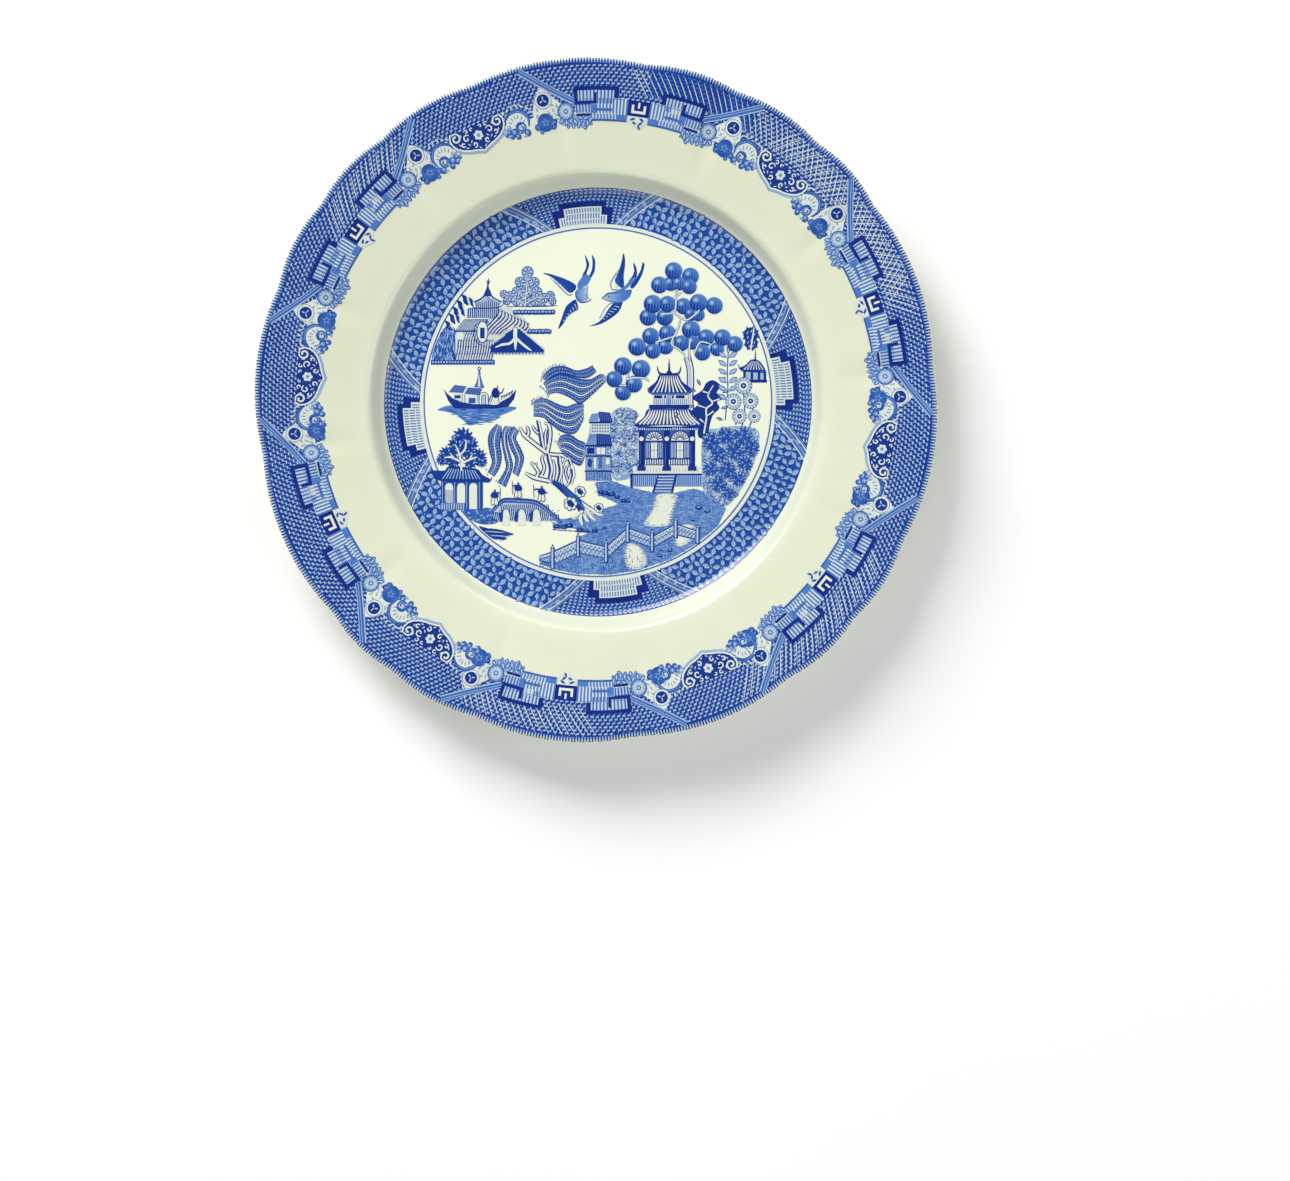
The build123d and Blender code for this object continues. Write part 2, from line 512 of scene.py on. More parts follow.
def border_bars(number, angle):
    """The two slanting bars that frame a pair of frets, and the medallion and ball beside each."""
    art = Art(f"border_bars_{number}", around(angle, BORDER_REF))
    for side in (-1, 1):
        low, high = (25.9, 116.6), (44.6, 130.9)
        run = (high[0] - low[0], high[1] - low[1])
        across = (-run[1] / math.hypot(*run), run[0] / math.hypot(*run))

        def stripe(shift, width, shade, level):
            points = []
            for step in range(7):
                t = step / 6
                bow = -0.9 * math.sin(math.pi * t)
                points.append(
                    (
                        side * (low[0] + run[0] * t + across[0] * (shift + bow)),
                        low[1] + run[1] * t + across[1] * (shift + bow),
                    )
                )
            art.line(points, width, shade, level, smooth=False)

        stripe(0, 2.5, 0.62, 3)
        stripe(-0.95, 0.4, 0.2, 4)
        stripe(0.25, 0.35, 0.34, 4)
        stripe(1.1, 0.35, 0.28, 4)
        art.disc(side * 38, 118.5, 3.35, 0.5, 4, 24)
        art.disc(side * 38, 118.5, 3.1, 0.05, 5, 24)
        art.disc(side * 38, 118.5, 2.4, 0.9, 6, 22)
        for spoke in range(3):
            turn = 90 + 120 * spoke
            art.petal(*off(side * 38, 118.5, turn, 0.9), 1.7, 0.6, turn, 0.2, 7)
        art.disc(side * 38.4, 110.1, 3.5, lambda u, v: 0.62 + 0.035 * abs(v - 110.1), 5, 22)
        for spoke in range(5):
            turn = 18 + 72 * spoke
            art.petal(*off(side * 38.4, 110.1, turn, 0.9), 1.5, 0.8, turn, 0.42, 6)
        art.disc(side * 38.4, 110.1, 0.45, 0.8, 7, 8)
        for x, y, size, shade in (
            (35.4, 108.4, 1.5, 0.66), (34.6, 109.9, 1.1, 0.86), (42, 108.8, 1.4, 0.6),
            (40.6, 106.9, 1, 0.6),
        ):
            art.disc(side * x, y, size, shade, 4, 12)
            art.petal(side * x, y, size * 1.3, 0.35, 50 * side, 0.3, 5)


def border_cartouche(number, angle):
    """A dark shield with scrolled shoulders, a pointed foot and a flower, full of pale curls."""
    art = Art(f"border_cartouche_{number}", around(angle, BORDER_REF))
    half = [
        (0, 106.8), (1.6, 107.5), (4.2, 108.4), (5.6, 108.7), (8.4, 110), (10.2, 111.5), (11.3, 113.4),
        (11.5, 115.6), (10.4, 117.6), (8.6, 118.1), (6.8, 117.5), (5.4, 116.8), (3.4, 117.6), (1.4, 117.2),
    ]
    outline = half + [(0, 117.4)] + [(-u, v) for u, v in half[:0:-1]]
    art.fill(outline, 0.9, 5)
    rim = [(-u, v) for u, v in half[8:0:-1]] + half[:9]
    art.line(shifted(rim[2:-2], 0, -0.45), 1.3, 0.3, 4, smooth=False)
    art.line(shifted(rim, 0, 0.2), 0.62, 0.03, 6, smooth=False)

    def curl(u, v, size, start, turns, width=0.55):
        """A pale spiral on both halves of the shield."""
        for side in (-1, 1):
            path = []
            for step in range(9):
                t = step / 8
                swing = math.radians(start + turns * t)
                reach = size * (1 - 0.7 * t)
                path.append((side * (u + reach * math.cos(swing)), v + reach * math.sin(swing)))
            art.line(path, width, 0.06, 7, (0.7, 1))

    curl(9, 115.6, 2.1, 60, 430, 0.72)
    curl(5, 113.8, 1.5, 150, -330)
    curl(7.2, 112.2, 1, 240, 300)
    curl(2.8, 110.4, 1.1, 300, -330)
    curl(4.2, 116.2, 0.9, 20, 300, 0.45)
    curl(1.9, 116.2, 0.7, 160, -280, 0.45)
    for side in (-1, 1):
        for u, v, turn in (
            (6.2, 110.4, 20), (5, 111.2, 60), (8.6, 112.6, 70), (6.8, 115.6, 100), (3.6, 112, 140),
            (1.2, 108.6, 40),
        ):
            art.petal(side * u, v, 1.5, 0.5, turn if side > 0 else 180 - turn, 0.12, 7)
    for spoke in range(6):
        turn = 30 + 60 * spoke
        art.disc(*off(0, 113.2, turn, 1.25), 0.72, 0.06, 7, 9)
    art.disc(0, 113.2, 0.75, 0.4, 8, 9)


def border_wave(number, angle):
    """The scrolls like breaking waves on both sides of a cartouche, with fruit hanging below."""
    art = Art(f"border_wave_{number}", around(angle, BORDER_REF))
    for side in (-1, 1):

        def at(*points):
            return [(side * u, v) for u, v in points]

        art.blob(
            at(
                (21.4, 111.2), (20.4, 114.9), (17, 116.9), (13.4, 115.9), (11.8, 112.6), (9.6, 110.2),
                (13, 108.4), (18, 107.9),
            ),
            0.06, 4,
        )
        art.line(
            at((21, 110.2), (21.3, 113.6), (18.6, 116.6), (14.8, 116.6), (12.2, 114.6)), 1.5, 0.66, 5,
            (0.4, 0.5),
        )
        art.line(at((21, 110.6), (20.9, 114.2), (18, 116.6), (14.6, 116.4)), 0.3, 0.4, 6, (0.4, 0.5))
        for u, v, turn in (
            (19.6, 118.2, 130), (17.8, 118.8, 110), (15.8, 118.7, 80), (13.9, 118, 55), (21.6, 117, 150),
            (12.2, 117.2, 40), (23, 115.2, 160),
        ):
            art.petal(side * u, v, 1.9, 0.75, side * turn, 0.12, 5)
        for u, v, turn in (
            (19.4, 112.4, 50), (18.6, 113.6, 65), (17.4, 114.4, 80), (16.1, 114.6, 95), (14.9, 114.1, 110),
            (13.8, 113.1, 130), (13, 111.9, 145),
        ):
            art.petal(side * u, v, 2, 0.4, side * turn, 0.56, 5)
        art.disc(side * 17.6, 110.3, 2.3, 0.66, 5, 18)
        art.disc(side * 17.6, 110.3, 1.55, 0.16, 6, 16)
        art.line(
            at((18.4, 111.6), (16.6, 111.3), (16.6, 109.6), (18, 109.2), (18.6, 110.2), (17.8, 110.7)), 0.5,
            0.74, 7,
        )
        for u, v, size in (
            (14.6, 109, 1.7), (15.6, 107.3, 1.2), (12.4, 109.6, 1.2), (13, 107.9, 1.1), (19.9, 107.8, 1.4),
            (11, 108.9, 0.8),
        ):
            art.disc(side * u, v, size, 0.68, 5, 12)
            art.disc(side * (u - 0.25), v + 0.3, size * 0.55, 0.42, 6, 8)
            art.disc(side * (u - 0.35), v + 0.4, size * 0.2, 0.12, 7, 8)
        for u, v, turn in (
            (12.6, 111, 150), (11, 111, 170), (13.6, 110.6, 120), (10.2, 109.8, 160), (16.6, 108.6, 60),
            (18.8, 106.9, 20), (12, 108.4, 20),
        ):
            art.petal(side * u, v, 2.2, 0.9, side * turn, 0.52, 6)
            art.petal(side * u, v, 1.5, 0.36, side * turn, 0.12, 7)


# ---------------------------------------------------------------- the band in the well
BAND_REF = 78
BAND_IN, BAND_OUT = 70.3, 84.4
PANELS = [6.5, 94.5, 187.3, 276.3]


def band_ground():
    art = Art("band_ground")
    turns, rows = 480, 7
    for index in range(turns):
        a, b = 360 * index / turns, 360 * (index + 1) / turns
        for row in range(rows):
            inner = BAND_IN + (BAND_OUT - BAND_IN) * row / rows
            outer = BAND_IN + (BAND_OUT - BAND_IN) * (row + 1) / rows
            art.mark([polar(a, inner), polar(b, inner), polar(b, outer), polar(a, outer)], 0.76, 1)


def band_petals():
    """Pale leaves laid along a diamond lattice, with a small light in the middle of each diamond."""
    art = Art("band_petals")
    draw = random.Random(12)
    columns, rows = 176, 5
    tall = (BAND_OUT - BAND_IN - 0.4) / rows
    for row in range(rows):
        radius = BAND_IN + 0.2 + tall * (row + 0.5)
        for column in range(columns):
            angle = 360 * (column + 0.5) / columns
            if min(
                turn_gap(angle, panel)
                for panel in PANELS
            ) < 10.5 + 10 * (radius - BAND_IN) / (BAND_OUT - BAND_IN):
                continue
            art.place = around(angle, radius)
            lean = (52 if (column + row) % 2 else 128) + draw.uniform(-27, 27)
            size = draw.uniform(0.8, 1.08)
            u, v = draw.uniform(-0.3, 0.3), radius + draw.uniform(-0.2, 0.2)
            for leaf in (
                (u, v, 4 * size, 2.8 * size, lean, 0.94, 2),
                (u, v, 3.6 * size, 2.35 * size, lean, 0.54, 3),
                (u + 0.08, v + 0.08, 2.8 * size, 1.5 * size, lean, 0.22, 4),
                (u, v, 1.9, 0.26, lean, 0.66, 5),
            ):
                art.petal(*leaf)
            art.place = around(angle + 180 / columns, radius)
            if (column + row) % 2 and row:
                art.petal(0, radius - tall / 2, 1.2, 0.6, 90, 0.4, 2)


def band_panel(number, angle):
    """A stepped fret between two slanting bars, on a woven ground."""
    art = Art(f"band_panel_{number}", around(angle, BAND_REF))
    for row in range(11):
        v = BAND_IN + 0.8 + 1.27 * row
        reach = 13.6 + 12 * (v - BAND_IN) / (BAND_OUT - BAND_IN)
        count = int(2 * reach / 1.75)
        for column in range(count + 1):
            u = -reach + 2 * reach * (column + 0.5 * (row % 2)) / count
            if abs(u) < reach:
                art.petal(u, v, 1.25, 0.56, 0, 0.18, 2)
                if row < 10:
                    art.petal(u + 0.45, v + 0.62, 1.3, 0.3, 60, 0.34, 2)
    for u0, u1, v0, v1, shade, level in (
        (-12.2, 12.2, BAND_IN, 76.9, 0.97, 3),
        (-9.2, 9.6, 76.9, 79.3, 0.97, 3),
        (-10.2, 10.2, BAND_IN, 73.9, 0.08, 4),
        (-7.5, 7.8, 73.9, 77.2, 0.08, 4),
    ):
        art.grid(u0, u1, v0, v1, shade, level, 2)
    hatch(art, -9.6, 9.6, BAND_IN + 0.3, 73.4, 1.12, 0.55, 5)
    hatch(art, -7, 7.3, 73.4, 76.7, 1.12, 0.55, 5)
    for v in (72.2, 74.8):
        art.grid(-7.4, 7.7, v - 0.22, v + 0.22, 0.08, 6, 2)
    for side in (-1, 1):
        for shift, width, shade, level in (
            (1.3, 5.2, 0.9, 3), (1.4, 2.3, 0.55, 4), (-0.3, 0.55, 0.08, 5), (-1.2, 0.3, 0.3, 5),
            (3.1, 0.55, 0.06, 5), (1.4, 0.3, 0.3, 5),
        ):
            for step in range(6):
                cell = []
                for t, half in (
                    (step, -width / 2), (step, width / 2), (step + 1, width / 2), (step + 1, -width / 2),
                ):
                    cell.append(
                        (
                            side * (14.6 + 12.4 * t / 6 + shift + half),
                            BAND_IN + (BAND_OUT - BAND_IN) * t / 6,
                        )
                    )
                art.fill(cell, shade, level)


def ring_band(name, bands, turns=360):
    """Plain printed rings, as (inner radius, outer radius, shade)."""
    art = Art(name)
    for inner, outer, shade in bands:
        for index in range(turns):
            a, b = 360 * index / turns, 360 * (index + 1) / turns
            art.mark([polar(a, inner), polar(b, inner), polar(b, outer), polar(a, outer)], shade, 1)


# ---------------------------------------------------------------- drawing helpers for the picture
def inside(x, y, outline):
    """Whether a point lies inside a closed outline."""
    hit = False
    for (ax, ay), (bx, by) in zip(outline, outline[1:] + outline[:1]):
        if (ay > y) != (by > y) and x < ax + (bx - ax) * (y - ay) / (by - ay):
            hit = not hit
    return hit


def scatter(outline, gap, seed):
    """Points spread evenly but irregularly inside an outline, about a gap apart."""
    draw = random.Random(seed)
    low_x, high_x = min(x for x, _ in outline), max(x for x, _ in outline)
    low_y, high_y = min(y for _, y in outline), max(y for _, y in outline)
    found, row = [], 0
    y = low_y + gap / 2
    while y < high_y:
        x = low_x + gap * (0.5 if row % 2 else 1)
        while x < high_x:
            spot = (x + draw.uniform(-0.28, 0.28) * gap, y + draw.uniform(-0.28, 0.28) * gap)
            if inside(*spot, outline):
                found.append(spot)
            x += gap
        y += gap * 0.87
        row += 1
    return found


def leafy(art, outline, gap, length, width, shades, seed, level=3, turn=0, spread=90):
    """Small leaves strewn inside an outline."""
    draw = random.Random(seed)
    for x, y in scatter(outline, gap, seed):
        art.petal(x, y, length, width, turn + draw.uniform(-spread, spread), draw.choice(shades), level)


def fan(art, count, first, run, width, shade, level, ends=(1, 1)):
    """Strokes side by side: the points of the first, and how far each has moved at the last."""
    for index in range(count):
        t = index / (count - 1)
        path = [(x + a * t, y + b * t) for (x, y), (a, b) in zip(first, run)]
        art.line(path, width, shade, level, ends)


def open_rings(art, outline, shades, seed, place_seed):
    """Small open rings strewn inside an outline, as the leaves of shrubs are drawn."""
    draw = random.Random(seed)
    for x, y in scatter(outline, 1.5, place_seed):
        turn = draw.uniform(0, 360)
        ring = [off(x, y, turn + a, 0.85, 0.8) for a in range(0, 270, 45)]
        art.line(ring, 0.36, draw.choice(shades), 3, (0.4, 0.4))


def ribbons(art, top, bottom, count, dark, light, width, level=3):
    """A patch between two lines, striped along its length."""
    top, bottom = curve(top, steps=5), curve(bottom, steps=5)
    last = min(len(top), len(bottom)) - 1
    top = [top[round(index * (len(top) - 1) / last)] for index in range(last + 1)]
    bottom = [bottom[round(index * (len(bottom) - 1) / last)] for index in range(last + 1)]
    for (a, b), (c, d) in zip(zip(top, bottom), zip(top[1:], bottom[1:])):
        art.mark([a, b, d, c], dark, level)
    for stripe in range(count):
        t = (stripe + 0.5) / count
        path = [(a[0] + (b[0] - a[0]) * t, a[1] + (b[1] - a[1]) * t) for a, b in zip(top, bottom)]
        art.line(path, width, light, level + 1, (0.3, 0.3), smooth=False)


def plume(art, top, bottom, bands):
    """A swept mass of willow leaf: hatched bands, parted by thin pale lines."""
    ribbons(art, top, bottom, 0, 0.6, 0.6, 0.4)
    top, bottom = curve(top, steps=8), curve(bottom, steps=8)
    last = min(len(top), len(bottom)) - 1

    def at(t, index):
        a, b = top[round(index * (len(top) - 1) / last)], bottom[round(index * (len(bottom) - 1) / last)]
        return (a[0] + (b[0] - a[0]) * t, a[1] + (b[1] - a[1]) * t)

    for band in range(bands):
        for index in range(1, last):
            low, high = at((band + 0.16) / bands, index - 1), at((band + 0.84) / bands, index)
            art.line([low, high], 0.4, 0.92, 4, (0.5, 0.5))
            spot = at((band + 0.5 + 0.22 * (-1) ** index) / bands, index)
            art.petal(*spot, 1, 0.34, 30 * index, 0.3, 4.5)
    for band in range(bands + 1):
        edge = [at(band / bands, index) for index in range(last + 1)]
        if band in (0, bands):
            art.line(edge, 0.5, 0.84, 5.5, (0.4, 0.4), smooth=False)
        else:
            art.line(edge, 0.95, 0.88, 5.5, (0.3, 0.3), smooth=False)
            art.line(edge, 0.42, 0.04, 6.5, (0.3, 0.3), smooth=False)


def bush(art, x, y, size, base, level=2):
    """A rounded bush: a body of colour with leaves round its edge and small lights and darks on it."""
    art.disc(x, y, size * 0.92, base, level, 14)
    for leaf in range(13):
        turn = 360 * leaf / 13 + math.degrees(y)
        art.petal(*off(x, y, turn, size), size * 0.5, size * 0.24, turn + 30, base, level + 1)
    for leaf in range(14):
        a, reach = 2.4 * leaf + x, 0.23 * math.sqrt(leaf + 1)
        spot = (x + size * reach * math.cos(a), y + size * reach * math.sin(a))
        art.petal(*spot, size * 0.42, size * 0.15, 57 * a, 0.26 if leaf % 2 else 0.92, level + 2)


def stripes(art, left, right, count, width, shade, level=4):
    """Straight strokes from a line of feet to a line of heads, both given by their two ends."""
    for index in range(count):
        t = (index + 0.5) / count
        foot = tuple(left[0][axis] + (left[1][axis] - left[0][axis]) * t for axis in (0, 1))
        head = tuple(right[0][axis] + (right[1][axis] - right[0][axis]) * t for axis in (0, 1))
        art.line([foot, head], width, shade, level)


# ---------------------------------------------------------------- the picture in the middle
def scene_doves():
    """Two birds that meet in the air."""
    art = Art("scene_doves")
    dark, mid = 0.82, 0.52
    art.blob(
        [
            (-21.5, 51), (-18.4, 50.6), (-12.3, 48.5), (-8.5, 46.2), (-8.9, 44.2), (-11.1, 43.2),
            (-14.5, 46.4), (-18, 49.3),
        ],
        dark,
    )
    art.line([(-18.8, 49.3), (-14.6, 45.2), (-11.6, 42.4), (-9.9, 42.6)], 0.45, mid, 2, (0.3, 1))
    fan(art, 6, [(-17, 48.4), (-15, 45.4)], [(6.2, -3.8), (4.4, -2.3)], 0.22, 0.55, 3, (1, 0.4))
    art.blob(
        [
            (-5, 58.1), (-3.6, 55.8), (-3.2, 54), (-3.9, 51.9), (-4.6, 50), (-6.2, 48.6), (-5.6, 50.8),
            (-4.7, 52.4), (-4.3, 54.4),
        ],
        dark,
    )
    art.blob(
        [
            (-2.1, 58.1), (-0.9, 56), (-0.9, 53.2), (-1.3, 51.2), (-3.2, 48), (-4.8, 47), (-3.2, 50),
            (-2.2, 52.2), (-1.9, 55),
        ],
        dark,
    )
    art.blob(
        [
            (-7.9, 46.5), (-6.4, 48.9), (-4.4, 50.4), (-2.6, 49.2), (-3.2, 47.4), (-4.6, 45.6),
            (-5.6, 44.6), (-7.4, 44.6),
        ],
        mid,
    )
    art.blob(
        [
            (-8.6, 43.8), (-6.6, 45.4), (-4.3, 45.8), (-3.9, 43.6), (-3.4, 41.2), (-5.4, 39.6),
            (-7.7, 40.4), (-8.6, 42),
        ],
        lambda x, y: 0.5 if x < -6 else 0.16, 2,
    )
    art.line([(-8.6, 43.6), (-8.3, 41.2), (-6.6, 39.5), (-4.4, 39.6), (-2.3, 40.4)], 0.5, dark, 3, (0.5, 0.4))
    art.line([(-2.3, 40.4), (-4.2, 41.5), (-4, 43.6), (-3.8, 46)], 0.35, mid, 3, (0.4, 1))
    art.disc(-4.3, 40.6, 0.3, dark, 4, 7)
    for x, y in ((-6.6, 44.3), (-5.7, 43.4), (-5, 44.6), (-6, 42.3), (-7.1, 42.7), (-5.2, 42.4)):
        art.petal(x, y, 0.8, 0.3, 70, mid, 4)
    art.blob(
        [
            (-8.8, 40.6), (-11.2, 39), (-12.6, 37.4), (-14, 33.6), (-15.5, 29), (-13.2, 31.3),
            (-11.9, 33.6), (-9.4, 35.6), (-7.6, 36.6), (-7.9, 39),
        ],
        dark,
    )
    fan(art, 6, [(-8.9, 38.8), (-8, 36.4)], [(-4.6, -6.2), (-4.8, -4.8)], 0.3, 0.12, 3, (1, 0.5))
    art.blob(
        [
            (10.2, 58.8), (10.9, 56.6), (10.9, 53.6), (10.4, 49.8), (10.5, 45.6), (9.2, 45.2), (7, 47.6),
            (7.8, 50.2), (8.8, 52.8), (9.7, 56),
        ],
        dark,
    )
    art.line([(8.6, 52.4), (6.6, 49.6), (5.3, 46.6), (5.9, 44.4), (8, 44.4)], 0.45, mid, 2, (0.3, 1))
    fan(art, 6, [(8.3, 51), (6.6, 49.2)], [(0.6, -5), (0.4, -4.2)], 0.22, 0.55, 3, (1, 0.4))
    art.blob(
        [
            (14.3, 54.9), (15.4, 53), (15.6, 50), (14.6, 47.6), (12.9, 46.4), (12.2, 47.4), (13.8, 49.6),
            (14.5, 51.8), (14.2, 53.6),
        ],
        dark,
    )
    art.blob(
        [
            (17.9, 55.1), (18.6, 54), (17.7, 50.4), (15.8, 46.8), (13.9, 44.8), (13, 45.6), (15, 48.4),
            (16.9, 51.6), (17.5, 53.6),
        ],
        dark,
    )
    art.blob(
        [
            (15.2, 48.6), (13.4, 46.4), (11.2, 44.5), (8.8, 43.2), (7, 42.9), (7.4, 43.8), (10, 45.2),
            (12.4, 47.4), (14.4, 49.2),
        ],
        mid, 2,
    )
    art.blob(
        [
            (7.2, 43), (5.2, 43), (3.4, 42.4), (1.8, 41), (3.8, 39.9), (6.8, 39.2), (10.4, 39.8),
            (12.6, 41.6), (13.6, 44.2), (11, 44.2),
        ],
        lambda x, y: 0.16 + 0.035 * x, 1,
    )
    art.line([(7.4, 43.4), (5.8, 43.1), (4.2, 42.9), (2.9, 41.9), (1.6, 41)], 0.5, dark, 3, (1, 0.3))
    art.line(
        [(1.6, 41), (3.6, 40.2), (6.6, 39.4), (9.8, 39.7), (12.4, 41.4), (13.4, 43.6)], 0.4, mid, 3,
        (0.3, 1),
    )
    art.disc(4.6, 41.7, 0.3, dark, 4, 7)
    for x, y in ((7.6, 41.6), (8.8, 42.2), (9, 40.9), (10.2, 41.7), (11.2, 42.8), (7.9, 40.5), (10.6, 40.8)):
        art.petal(x, y, 0.8, 0.3, 150, mid, 4)
    art.blob(
        [
            (9.8, 40), (9.4, 37.4), (8, 35.2), (5.2, 33), (1.2, 30.8), (-3.3, 30), (0.4, 31.6), (2.6, 34),
            (4.4, 36.8), (6.6, 39.2),
        ],
        dark,
    )
    fan(art, 6, [(8.6, 37.4), (6.6, 38)], [(-5.6, -4.6), (-4.6, -5)], 0.3, 0.12, 3, (1, 0.5))
    art.line([(0.9, 33), (2.6, 36.4), (4.6, 38.6), (6.4, 39.2)], 0.3, mid, 3)


FRUIT = [
    (29, 46.6, 2.9), (32.2, 46.7, 2.8), (36.9, 34.6, 2.6), (37.7, 23.4, 2.8), (33.2, 23.2, 3.1),
    (47.2, 20.8, 2.8),
    (39.7, 34.3, 2.6), (26.9, 21.9, 3.1), (30.1, 51.6, 3.4), (36.7, 49.5, 3.3), (24.5, 46.1, 3.3),
    (36.2, 45.4, 3),
    (21.9, 38.6, 3.6), (27.7, 38.6, 3.2), (34, 37.7, 3.2), (39.9, 39, 3.5), (46.1, 37.9, 3.3),
    (20, 33.4, 3.3),
    (26.6, 33.4, 3.3), (36.9, 28.5, 3.6), (21, 26, 3.3), (27.7, 27, 3.4), (15.7, 21.8, 3.5),
    (21.9, 20.2, 3.1),
    (42.9, 25.3, 3.3), (49.3, 25.3, 3.3), (54.2, 22.8, 3.1), (41.4, 19.5, 3.2), (10.1, 14.2, 3.5),
    (17.2, 13.1, 3.6),
    (6.7, 9.1, 3.2), (10.1, 3.9, 3.2), (14.4, 7.1, 3.3),
]


def scene_fruit_tree():
    """The tree hung with round fruit, each shaded like a ball, on thin pale twigs."""
    art = Art("scene_fruit_tree")
    for x, y, size in FRUIT:
        art.disc(x, y, size + 0.28, 0.1, 3, 24)
        art.disc(x, y, size, lambda u, v: 0.72 + 0.07 * (y - v + 0.5 * (x - u)), 4, 24)
        for stroke in range(5):
            shift = (stroke - 2) * size * 0.32
            reach = math.sqrt(size**2 - shift**2) * 0.86
            bow = 0.2 * size + 0.3 * shift
            path = [
                (x + shift - 0.3 * bow, y + reach), (x + shift + bow * 0.4, y),
                (x + shift - 0.3 * bow, y - reach),
            ]
            art.line(path, 0.26, 0.5, 5, (0.2, 0.2))
        art.disc(x - 0.3 * size, y + 0.35 * size, size * 0.34, 0.42, 6, 10)
        art.disc(x - 0.3 * size, y + 0.35 * size, size * 0.14, 0.2, 7, 8)
    for twig in (
        [(31.6, 44.4), (31, 42), (30.9, 37.7), (30, 35.2), (25.5, 34.7)],
        [(33.4, 43.2), (31, 41.4)],
        [(30, 35.2), (33, 33.2), (35.5, 32.4), (38.6, 34.5), (40.3, 36.2)],
        [(33, 33.2), (31.8, 29), (29.2, 23.2), (32.2, 20.8), (34.6, 18.4)],
        [(31, 26.2), (24.4, 24), (23, 23.8)],
        [(45, 22.6), (40.6, 23.6), (38.2, 18.9)],
        [(36.6, 25), (36.2, 20), (36.6, 16)],
        [(12.6, 11.2), (11.6, 9.1), (13.6, 9.6), (18.5, 9.5), (20.4, 8.4)],
        [(8.6, 6.6), (11.4, 6.6)],
    ):
        art.line(twig, 0.95, 0.72, 5, (0.6, 0.8))
        art.line(twig, 0.5, 0.03, 8, (0.6, 0.8))
    trunk = [(35.4, 18), (36.6, 13), (36.7, 7), (36.4, 1), (37, -6)]
    art.line(trunk, 3, 0.9, 1, (1, 1))
    art.line(trunk, 2, 0.04, 2, (1, 1))
    for shift in (-0.5, 0.2):
        art.line(shifted(trunk, shift), 0.22, 0.5, 3)


